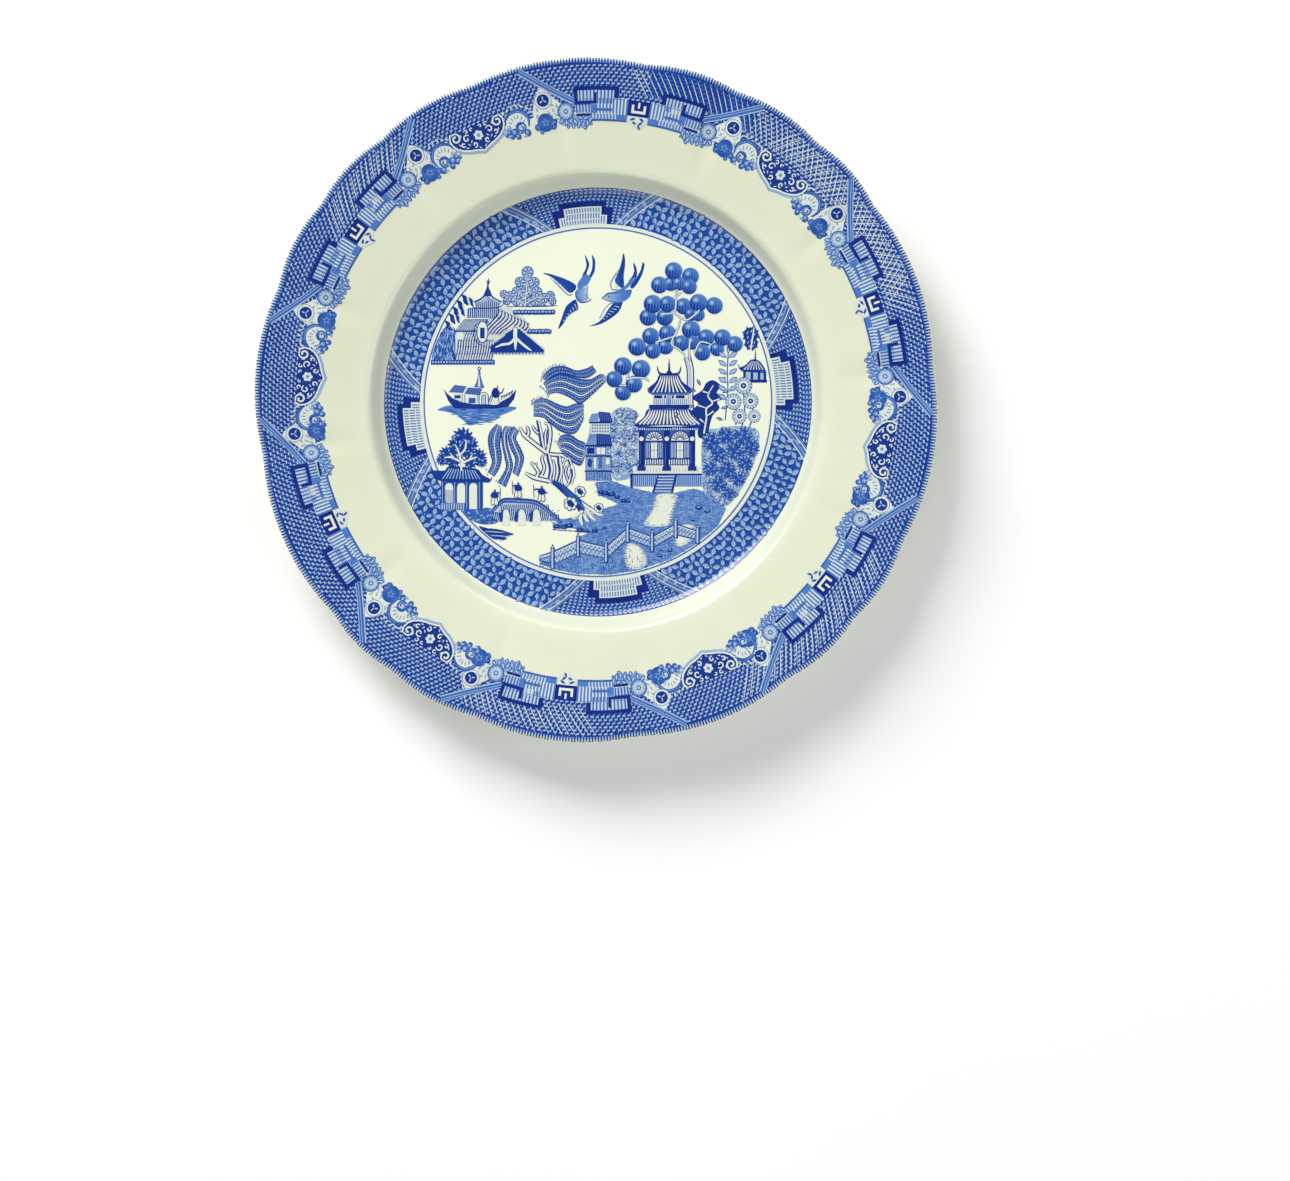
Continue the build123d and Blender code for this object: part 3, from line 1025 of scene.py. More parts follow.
def scene_pagoda():
    """The two-storeyed pagoda on its terrace, with steps down to the path."""
    art = Art("scene_pagoda")
    dark, mid, pale = 0.95, 0.6, 0.03
    art.line([(28.3, 17.2), (28.35, 11.2)], 0.75, dark, 3, (0.2, 1.4))
    art.fill([(27, 11.3), (29.7, 11.3), (28.3, 13.2)], dark, 3)
    for y in (14.8, 13.4):
        art.disc(28.33, y, 0.55, dark, 3, 8, 0.5)
    art.line(
        [(23.7, 14.2), (23.9, 12.6), (24.9, 11.2), (28, 11), (31.7, 11.2), (32.7, 12.6), (32.9, 14.1)],
        0.85, dark, 4, (0.3, 0.3),
    )
    art.blob(
        [
            (24.6, 11), (28.3, 11.1), (31.9, 11), (33.4, 8.2), (37.4, 4.9), (35.6, 3.2), (28.3, 3.5),
            (21.4, 3.2), (19.9, 5.2), (23.2, 8.2),
        ],
        0.9, 3,
    )
    fan(
        art, 9, [(25.2, 10.5), (24.2, 7.6), (21.9, 3.9)], [(6.2, 0), (8.3, 0), (13.2, 0)], 0.52, pale, 4,
        (0.3, 1),
    )
    art.line(
        [(19.6, 5.7), (21.2, 3.7), (24.6, 3.3), (32.4, 3.3), (35.9, 3.7), (37.7, 5.7)], 0.5, mid, 5,
        (0.4, 0.4),
    )
    art.grid(21.6, 35.6, 2.9, 3.3, dark, 5)
    art.grid(21.9, 35.5, -1, 2.9, 0.1, 3)
    for x0, x1 in ((22.4, 25.6), (26.4, 27.2), (29.4, 30.2), (31, 34.4)):
        art.grid(x0, x1, 1.5, 2.7, dark, 4)
    stripes(art, [(22, -0.9), (35.6, -0.9)], [(22, 1.2), (35.6, 1.2)], 17, 0.28, mid)
    art.grid(27.5, 29.1, -1, 2.8, 0.35, 4)
    art.grid(20.4, 36.2, -2.5, -1, dark, 5)
    art.blob(
        [
            (20.2, -2.7), (28.3, -2.6), (36.2, -2.7), (37.9, -5.6), (41.2, -8.6), (41, -9.8), (28.3, -9),
            (15.6, -9.6), (15.2, -8.6), (18.4, -5.8),
        ],
        0.86, 3,
    )
    fan(
        art, 16, [(20.8, -3), (19.6, -5.6), (16.6, -8.7)], [(14.8, 0), (17.2, 0), (23.6, 0)], 0.62, pale, 4,
        (0.4, 1),
    )
    art.line([(30.6, -4.2), (31.9, -4.6), (30.9, -5.6), (32, -6.4)], 0.4, dark, 5)
    art.line(
        [(14.4, -7.4), (15.9, -9.6), (20, -9.9), (36.8, -9.9), (40.9, -9.7), (42.2, -7.6)], 0.75, dark, 5,
        (0.4, 0.4),
    )
    art.grid(16.1, 40, -11, -9.9, mid, 4)
    stripes(art, [(16.4, -10.9), (39.8, -10.9)], [(16.4, -10), (39.8, -10)], 27, 0.3, pale, 5)
    art.grid(16.3, 38.6, -24.8, -11, 0.66, 2)
    for middle, wide, peak in ((22.4, 3.5, -11.4), (32.6, 3.7, -11.3)):
        arch = [(middle - wide, -22), (middle - wide, -15.4)]
        arch += arched(middle, -15.2, wide, peak + 15.2)
        arch += [(middle + wide, -22)]
        art.fill(arch, 0.05, 3)
        art.line(arch, 0.4, dark, 4, smooth=False)
        for turn in range(20, 161, 20):
            spoke = [off(middle, -15.2, turn, 1.2), off(middle, -15.2, turn, wide - 0.3, peak + 14.9)]
            art.line(spoke, 0.42, 0.8, 4)
        art.grid(middle - wide, middle + wide, -15.7, -15.1, dark, 5)
        art.grid(middle - wide, middle - 1.4, -22, -15.7, 0.72, 4)
        art.grid(middle + 1.4, middle + wide, -22, -15.7, 0.72, 4)
        hatch(art, middle - wide, middle - 1.5, -21.8, -15.9, 0.62, 0.2, 5)
        hatch(art, middle + 1.5, middle + wide, -21.8, -15.9, 0.62, 0.2, 5)
        art.grid(middle - 1.35, middle + 1.35, -21.9, -15.8, 0.03, 5)
        art.line(
            [
                (middle - 1.35, -21.9), (middle - 1.35, -15.9), (middle + 1.35, -15.9),
                (middle + 1.35, -21.9),
            ],
            0.3, dark, 6, smooth=False,
        )
        art.line([(middle, -21.9), (middle, -15.9)], 0.2, 0.6, 6)
        art.line([(middle - 1.3, -18.9), (middle + 1.3, -18.9)], 0.2, 0.6, 6)
    for x in (17.4, 27.4, 37.4):
        art.grid(x - 1.1, x + 1.1, -25.2, -11, 0.97, 6)
        art.disc(x, -14.4, 0.9, 0.03, 7, 12)
        art.line([(x - 0.5, -16.2), (x - 0.5, -24.4)], 0.2, 0.5, 7)
        art.grid(x - 1.7, x + 1.7, -27, -25.2, 0.92, 6)
    art.grid(18.4, 36.6, -24.8, -22.1, 0.85, 5)
    stripes(art, [(18.6, -24.5), (36.4, -24.5)], [(18.6, -22.6), (36.4, -22.6)], 19, 0.42, pale, 6)
    art.grid(14, 40.4, -28.2, -25.2, 0.05, 4)
    stripes(art, [(14.6, -27.6), (40, -27.6)], [(14.6, -26), (40, -26)], 22, 0.16, 0.45, 5)
    art.grid(13.4, 41.4, -28.8, -28.1, dark, 6)
    art.grid(13.4, 41.4, -33.2, -28.8, 0.3, 4)
    hatch(art, 13.8, 41, -33, -29, 0.8, 0.66, 5)
    art.grid(13, 13.9, -33.4, -28.2, dark, 6)
    art.fill([(24.4, -28.6), (30.8, -28.6), (29.2, -35.6), (22.2, -35.6)], 0.62, 6)
    art.line([(24.2, -28.6), (22, -35.6)], 0.8, dark, 7)
    art.line([(31, -28.6), (29.4, -35.6)], 0.8, dark, 7)
    for tread in range(6):
        t = (tread + 0.5) / 6
        art.line([(24.2 - 2 * t, -28.6 - 7 * t), (30.6 - 1.5 * t, -28.6 - 7 * t)], 0.36, 0.12, 7)


def scene_tower():
    """The small stepped house between the willow and the pagoda, with its garden wall."""
    art = Art("scene_tower")
    dark, mid, pale = 0.95, 0.6, 0.04
    art.fill(
        [
            (-4.8, -30.8), (-4.8, -20.6), (-3.4, -12.6), (-2.6, -7.2), (4.6, -7.6), (5.2, -16.6),
            (5.7, -30.8),
        ],
        0.3, 2,
    )
    leafy(
        art,
        [
            (-4.8, -30.8), (-4.8, -20.6), (-3.2, -12.6), (-2.4, -7.2), (4.4, -7.6), (5.2, -16.6),
            (5.7, -30.8),
        ],
        0.85, 0.8, 0.34, [mid, 0.8], 5, 3, 90, 12,
    )
    art.fill([(-3.6, -7.6), (-2.4, -4.6), (1, -3.9), (0.2, -7.6)], 0.28, 3)
    stripes(art, [(-3.4, -7.4), (0.2, -7.4)], [(-2.2, -4.7), (0.9, -4.2)], 7, 0.24, mid)
    art.fill([(0.5, -3.6), (5, -4.1), (6, -7.8), (0.9, -7.6)], dark, 4)
    stripes(art, [(1.2, -7.3), (5.6, -7.5)], [(0.8, -4.2), (4.8, -4.4)], 6, 0.2, 0.5, 5)
    art.grid(-3.2, 5.2, -8.3, -7.6, dark, 5)
    art.grid(-2.8, 4.9, -12.4, -8.3, 0.12, 4)
    for column in range(7):
        for row in range(3):
            art.grid(-2.2 + column * 1.02, -1.7 + column * 1.02, -9.3 - row * 1.2, -8.7 - row * 1.2, 0.8, 5)
    art.fill([(-4.6, -16.6), (-3.2, -12.6), (-0.4, -12.6), (-0.4, -16.6)], 0.3, 5)
    stripes(art, [(-4.4, -16.4), (-0.6, -16.4)], [(-3, -12.8), (-0.6, -12.8)], 6, 0.26, mid, 6)
    art.fill([(-0.4, -12.4), (4.9, -12.8), (6, -16.7), (-0.4, -16.7)], dark, 5)
    stripes(art, [(0.2, -16.4), (5.5, -16.5)], [(0, -12.8), (4.6, -13.1)], 7, 0.2, 0.5, 6)
    art.grid(-4.6, 5.6, -17.4, -16.7, dark, 6)
    art.grid(-4, -1.2, -20.2, -17.9, dark, 6)
    art.grid(-0.4, 3.2, -20.6, -17.6, pale, 6)
    art.line(
        [(-0.4, -20.6), (-0.4, -17.7), (3.2, -17.7), (3.2, -20.6), (-0.4, -20.6)], 0.3, mid, 7,
        smooth=False,
    )
    art.line([(1.4, -20.6), (1.4, -17.7)], 0.2, mid, 7)
    for part in (
        (-4.8, 5.6, -21.4, -20.9, dark, 6),
        (-3.8, -2.2, -25.4, -22.4, 0.8, 5),
        (0.5, 2, -25.8, -21.8, 0.6, 5),
        (3.4, 4.8, -24.4, -22, pale, 5),
        (-1.4, -0.4, -26, -21.8, pale, 5),
    ):
        art.grid(*part)
    hatch(art, -4.8, 5.7, -31, -27.2, 1, 0.6, 5)
    art.grid(-5, 5.8, -27.4, -26.8, dark, 5)


def scene_garden():
    """The shrubs that fill the ground between the small house and the pagoda."""
    art = Art("scene_garden")
    bounds = [
        (5, -9.4), (5.6, -4.6), (8.4, -2.2), (12, -2), (15.6, -4), (15.2, -8.2), (16.2, -12), (15.8, -20),
        (15.6, -28.2), (5.6, -29.6),
    ]
    art.blob(bounds, 0.34, 1)
    open_rings(art, bounds, [0.84, 0.05, 0.86, 0.05], 11, 21)
    for x, y, size in (
        (12, -4.2, 1.3), (8.6, -5, 1.2), (11.4, -20.6, 1.3), (8.6, -13.2, 1.2), (12.6, -13.6, 1.3),
        (7.6, -24.4, 1.2),
    ):
        ring = [off(x, y, turn, size * (0.3 + 0.7 * turn / 405)) for turn in range(0, 406, 45)]
        art.disc(x, y, size * 1.15, 0.3, 3, 12)
        art.line(ring, 0.36, 0.88, 4, (0.4, 0.6))
        art.line([(px * 0.99 + 0.1, py - 0.3) for px, py in ring[:6]], 0.22, 0.05, 5)


def scene_island():
    """The far island: a pavilion, a gabled hut, swirling slopes, a round-topped tree and shores of stones."""
    art = Art("scene_island")
    dark, pale = 0.9, 0.04
    for x, y, size in (
        (-27.6, 51.4, 2.5), (-30.6, 47.6, 2.1), (-25, 47.4, 2.2), (-27.9, 47.6, 2.4), (-31.8, 43.8, 2.1),
        (-24, 43.6, 2.3),
        (-28, 43.8, 2.5), (-37, 42.8, 1.6), (-34.6, 42, 2), (-35.8, 40, 1.6), (-32, 40.4, 2.3),
        (-28.4, 40.2, 2.3),
        (-24.6, 40.4, 2.5), (-21.2, 41.2, 2.1), (-18.6, 42.2, 1.8), (-17.8, 40, 1.6), (-21.8, 39.4, 1.6),
    ):
        size *= 0.86
        art.disc(x, y, size + 0.3, 0.8, 2, 16)
        art.disc(x, y, size, 0.36, 3, 16)
        for leaf in range(6):
            turn = 360 * leaf / 6 + math.degrees(x)
            art.petal(*off(x, y, turn, size * 0.55), size * 0.85, 0.42, turn, 0.84, 4)
            art.petal(*off(x, y, turn + math.degrees(0.5), size * 0.6), size * 0.7, 0.36, turn, 0.06, 4)
    for twig in (
        [(-28.6, 37.6), (-28.4, 41), (-28, 45), (-27.6, 50)],
        [(-28.4, 40.8), (-31.6, 44.2)],
        [(-28.2, 42.6), (-24.6, 46.6)],
        [(-28.6, 39), (-24, 41.4), (-20.6, 41.4)],
        [(-28.8, 38.6), (-34, 41.4)],
    ):
        art.line(twig, 0.85, 0.8, 5, (1, 0.4))
        art.line(twig, 0.42, 0.05, 6, (1, 0.4))
    art.line([(-43.1, 49.2), (-43.3, 46.4), (-43.6, 44)], 0.55, dark, 4, (0.4, 2), smooth=False)
    art.disc(-43.2, 47.2, 0.55, dark, 4, 8)
    art.line([(-44.1, 47.9), (-42.3, 47.9)], 0.3, dark, 4)
    bell = [
        (-43.3, 46), (-42.3, 43), (-40.8, 41.2), (-38, 39.9), (-38.6, 38.6), (-38.6, 33), (-51.6, 33),
        (-51.4, 37.2), (-48.1, 37.8), (-48.8, 39.9), (-45.8, 41.2), (-44.3, 43),
    ]
    art.fill(bell, 0.52, 3)
    for index in range(4):
        x = -51.1 + 0.85 * index
        art.line([(x, 37), (x, 33.2)], 0.34, 0.84, 4)
        art.line([(x + 0.42, 36.8), (x + 0.42, 33.4)], 0.26, 0.12, 4)
    for index in range(12):
        reach = -5.4 + 0.92 * index
        rib = [
            (-43.3 + share * reach, y)
            for share,
            y in ((0.86, 33.2), (0.86, 38.4), (0.9, 39.6), (0.6, 40.6), (0.32, 42.2), (0.12, 44.6))
        ]
        art.line(rib, 0.34, 0.84, 4)
        art.line(shifted(rib[:-1], 0.42, -0.2), 0.26, 0.12, 4)
    art.line(
        [(-51, 41.6), (-48.9, 37.6), (-43.4, 37.3), (-38.6, 37.8), (-36.2, 40.2)], 0.42, dark, 5,
        (0.4, 0.4),
    )
    for side in (-1, 1):
        eave = [
            (-43.3 + side * reach, y)
            for reach,
            y in ((0.1, 45.8), (0.9, 43.2), (2.4, 41.3), (5.9, 39.7))
        ]
        art.line(eave, 0.5, dark, 5, (0.6, 0.4))
    for x, y, size in (
        (-50.4, 40.2, 0.8), (-52.7, 41, 1), (-54.6, 38.8, 1), (-56.3, 36.2, 1), (-57.8, 33.6, 0.95),
        (-59.4, 30.9, 0.9), (-53.6, 36, 0.7), (-55.6, 33.2, 0.7),
    ):
        path = [
            (x - 1.1 * size, y + 1.7 * size), (x + 0.3 * size, y + 0.3 * size),
            (x + 0.5 * size, y - 1 * size), (x + 1.6 * size, y - 2.6 * size),
        ]
        art.line(path, 1.9 * size, 0.88, 3, (0.2, 0.2))
        art.line(shifted(path, 1.1, 0.4), 0.7 * size, pale, 4, (0.3, 0.2))
    woods = [
        (-61.4, 28.8), (-58.6, 31.4), (-56.4, 29.4), (-56.2, 22), (-56, 16.4), (-65.8, 16.2), (-65.4, 19.6),
        (-63.6, 24.6),
    ]
    art.fill(woods, 0.62, 2)
    draw = random.Random(8)
    for x, y in scatter(woods, 1.05, 6):
        art.petal(
            x, y, draw.uniform(1.2, 2.6), 0.4, 90 + draw.uniform(-14, 14),
            draw.choice([0.9, 0.8, 0.36, 0.2]), 3,
        )
    slope = [
        (-56.4, 28.6), (-50, 28.8), (-46, 32.6), (-39, 37.6), (-34.4, 38), (-31.2, 35), (-28.4, 33),
        (-27, 29.8), (-30.4, 28.6), (-34, 26.4), (-41.6, 22), (-42, 17), (-56.4, 16.6),
    ]
    art.fill(slope, 0.12, 2)
    for index in range(15):
        x = -55.8 + 1.02 * index
        top = 28 if index < 9 else 24.6 - 0.5 * (index - 9)
        path = [(x + 2, top), (x + 0.9, 24.6), (x + 0.5, 20.8), (x - 0.5, 16.8)]
        art.line(path if index < 9 else path[1:], 0.46, 0.84, 3, (0.4, 0.6))
        art.line([(u + 0.5, v) for u, v in (path if index < 9 else path[1:])], 0.3, 0.05, 4, (0.4, 0.6))
        for u, v in curve(path, steps=3)[1::2]:
            art.petal(u + 0.2, v, 1.3, 0.34, 25, 0.8, 4)
    for index in range(10):
        t = index / 9
        x, y = -39.6 + 11.6 * t, 37.6 - 5.6 * t
        path = [
            (x, y), (x + 0.5, y - 2.2), (x - 1.6, y - 5 + 0.9 * t), (x - 4.4, y - 8 + 3.2 * t),
            (x - 6, y - 11 + 5.8 * t),
        ]
        art.line(path, 0.6, 0.88, 5, (0.3, 0.3))
        art.line(shifted(path, 0.7), 0.46, 0.03, 6, (0.3, 0.3))
        for u, v in curve(path, steps=2)[1::2]:
            art.petal(u + 0.35, v, 1.2, 0.4, 70, 0.84, 6)
    art.fill([(-56.4, 28.4), (-52.7, 32.9), (-43.4, 33), (-43, 31.6), (-46.8, 28.4)], 0.6, 6)
    stripes(art, [(-56, 28.6), (-47.2, 28.6)], [(-52.5, 32.6), (-44, 32.6)], 12, 0.34, 0.14, 7)
    stripes(art, [(-55.6, 28.6), (-46.9, 28.6)], [(-52.1, 32.6), (-43.6, 32.6)], 12, 0.24, 0.9, 8)
    art.line([(-53, 33.2), (-42.9, 33.2)], 0.44, pale, 9)
    art.line([(-56.8, 28.2), (-47.4, 28.2)], 0.5, 0.86, 9)
    art.grid(-55.6, -53, 25, 28, 0.05, 6)
    ring = [
        (-45.5 + 2.15 * math.cos(math.tau * a / 20), 27.9 + 4.2 * math.sin(math.tau * a / 20))
        for a in range(20)
    ]
    art.fill(ring, pale, 9)
    art.line(ring, 0.34, 0.8, 10, closed=True)
    art.grid(-46.4, -44.6, 25.4, 29.6, dark, 11)
    art.line([(-47.8, 31.4), (-49, 28), (-48.2, 24.6), (-46.2, 22.8)], 0.36, 0.7, 9)
    art.grid(-66, -40.6, 15, 16.9, 0.6, 3)
    for index in range(22):
        x = -65.2 + 1.12 * index
        art.disc(x, 16.1, 0.74, 0.88, 4, 10)
        art.disc(x, 16.1, 0.36, 0.16, 5, 8)
    for x0, x1, y in ((-33.2, -17.2, 35.6), (-30, -18.7, 28)):
        art.line([(x0, y), ((x0 + x1) / 2, y - 0.1), (x1, y)], 1.7, 0.72, 3, (0.4, 1), smooth=False)
        count = int((x1 - x0) / 1.25)
        for index in range(count):
            x = x0 + 0.8 + (x1 - x0 - 1.2) * index / (count - 1)
            art.disc(x, y + 0.1 * (index % 2), 1.06, 0.9, 4, 10)
            art.disc(x, y + 0.2, 0.5, 0.3, 5, 8)
    art.line([(-36, 38), (-28, 37.9), (-20, 38), (-15.8, 38.2)], 0.5, 0.72, 4, (0.4, 0.3))
    art.fill(
        [
            (-32.4, 29.9), (-30.2, 28.4), (-20.9, 20.6), (-21.4, 19.8), (-41.8, 19.6), (-42.6, 22),
            (-36.6, 26.4),
        ],
        dark, 7,
    )
    for path, width in (
        ([(-32.4, 29.6), (-32.5, 26.6), (-32.4, 24.6), (-32.4, 20.8)], 1.5),
        ([(-32.5, 25.6), (-34.6, 23.4), (-37.6, 22.9), (-40.4, 21.8)], 0.95),
        ([(-32.2, 25.6), (-30.2, 23.6), (-28, 21.8), (-26, 20.4)], 0.95),
        ([(-33, 30.2), (-37.4, 26.9), (-42.8, 22.8)], 0.45),
        ([(-31.6, 30.2), (-26.2, 25.6), (-20.6, 21.2)], 0.45),
    ):
        art.line(path, width, pale, 8, (1, 0.3))
    for index in range(16):
        art.petal(-41.4 + 1.32 * index, 19.5, 1.2, 0.8, 90, 0.6, 9)
        art.petal(-40.9 + 1.32 * index, 19.4, 0.8, 0.3, 90, 0.14, 10)


def scene_boat():
    """A boat with a little cabin and mast, and the water under it."""
    art = Art("scene_boat")
    dark, mid, pale = 0.93, 0.62, 0.04
    art.blob(
        [
            (-63.4, -2.8), (-58, -1), (-44, -1.2), (-32.2, -1.8), (-35, -3.8), (-38.4, -5.2), (-40.6, -7),
            (-46, -8), (-50.6, -9), (-52.6, -7.4), (-56.2, -4.6), (-60.6, -3.4),
        ],
        0.5, 1,
    )
    draw = random.Random(4)
    for index in range(46):
        y = -2.6 - 6 * draw.random()
        x = draw.uniform(-60 + 1.3 * (-2.6 - y), -35.4 - 1.1 * (-2.6 - y))
        art.petal(
            x, y, draw.uniform(2, 4.6), 0.36, draw.uniform(-6, 8), draw.choice([0.8, 0.72, 0.66, 0.2]), 2,
        )
    hull = [
        (-61, 5.4), (-59.4, 3.6), (-57.4, 1.8), (-53.6, 0.2), (-49, -0.6), (-43, -0.7), (-38.4, 0.2),
        (-34.8, 2.2), (-32, 5.2),
    ]
    art.fill(
        hull + [(-33, 1.4), (-35.4, -1.6), (-40.4, -2.3), (-49, -2.4), (-56.6, -2.2), (-59, 0.6)], dark, 3,
    )
    art.fill(
        [
            (-57.6, 4.4), (-53, 4), (-46.6, 3.6), (-43.2, 0.8), (-43, -0.6), (-49, -0.5), (-53.6, 0.3),
            (-57, 1.8),
        ],
        0.05, 3,
    )
    art.fill([(-58.8, 4.2), (-56.6, 7), (-51.8, 6.5), (-53.4, 3.9)], 0.78, 5)
    art.fill([(-52.5, 3.5), (-51.2, 6), (-45.5, 5.6), (-46.9, 3)], 0.78, 5)
    stripes(art, [(-58.4, 4.3), (-53.7, 4.1)], [(-56.5, 6.8), (-52.1, 6.4)], 6, 0.22, 0.4, 6)
    stripes(art, [(-52.2, 3.5), (-47.2, 3.1)], [(-51, 5.8), (-45.8, 5.5)], 6, 0.22, 0.4, 6)
    art.line([(-51.8, 6.2), (-53.2, 3.4)], 0.4, pale, 7)
    art.fill(
        [
            (-47.1, 13.6), (-46.5, 13.6), (-46.2, 10.4), (-45.4, 7.6), (-44.6, 5.8), (-48.9, 6.2),
            (-48, 7.8), (-47.3, 10.4),
        ],
        0.6, 4,
    )
    art.line([(-46.9, 11.4), (-46.8, 6.4)], 0.5, 0.08, 5, (0.3, 2))
    art.disc(-46.8, 13.5, 0.75, 0.6, 5, 12)
    art.disc(-46.8, 13.5, 0.35, 0.06, 6, 10)
    art.grid(-56.6, -54.2, 1.7, 3, 0.86, 4)
    art.grid(-51, -48.2, -0.2, 1.9, 0.72, 4)
    for x in (-53.6, -52.6, -47.4):
        art.line([(x, 3.2), (x + 0.1, 0)], 0.28, mid, 4)
    for half, shade, level in ((2, 0.66, 5), (1.65, 0.04, 6), (0.95, 0.62, 7), (0.6, 0.2, 8)):
        arch = arched(-45, 2.4, half, half * 0.9)
        art.fill([(-45 - half, -0.6)] + arch + [(-45 + half, -0.6)], shade, level)
    art.blob(
        [(-41.9, 3.9), (-41, 5.7), (-39.6, 5.6), (-38.8, 4.2), (-38.9, 2.4), (-40.4, 1.8), (-41.6, 2.6)],
        0.92, 6,
    )
    art.line([(-39.8, 5.2), (-39.4, 6.9)], 0.6, 0.85, 6, (1, 0.3))
    art.blob([(-41.4, 2.4), (-39.2, 2.2), (-38.8, -0.4), (-42.6, -0.6)], pale, 5)
    art.line([(-41.4, 2.4), (-42.5, -0.4)], 0.3, 0.8, 6)
    art.line([(-39.2, 2.2), (-38.9, -0.2)], 0.3, 0.8, 6)
    art.line([(-39.2, 3.8), (-37.8, 4), (-37, 5.8)], 0.45, dark, 6, (1, 0.5))
    art.line([(-41.4, 3), (-42.4, 2.2), (-43, 0.2)], 0.35, dark, 6, (1, 0.5))
    for index in range(5):
        x, y = -38 + 1 * index, 1.1 + 0.55 * index
        art.line([(x, y), (x + 0.4, y + 1.5)], 0.3, 0.8, 5)
    art.line([(-38.4, 2.4), (-35.4, 3.4), (-33.2, 4.8)], 0.3, 0.8, 5)


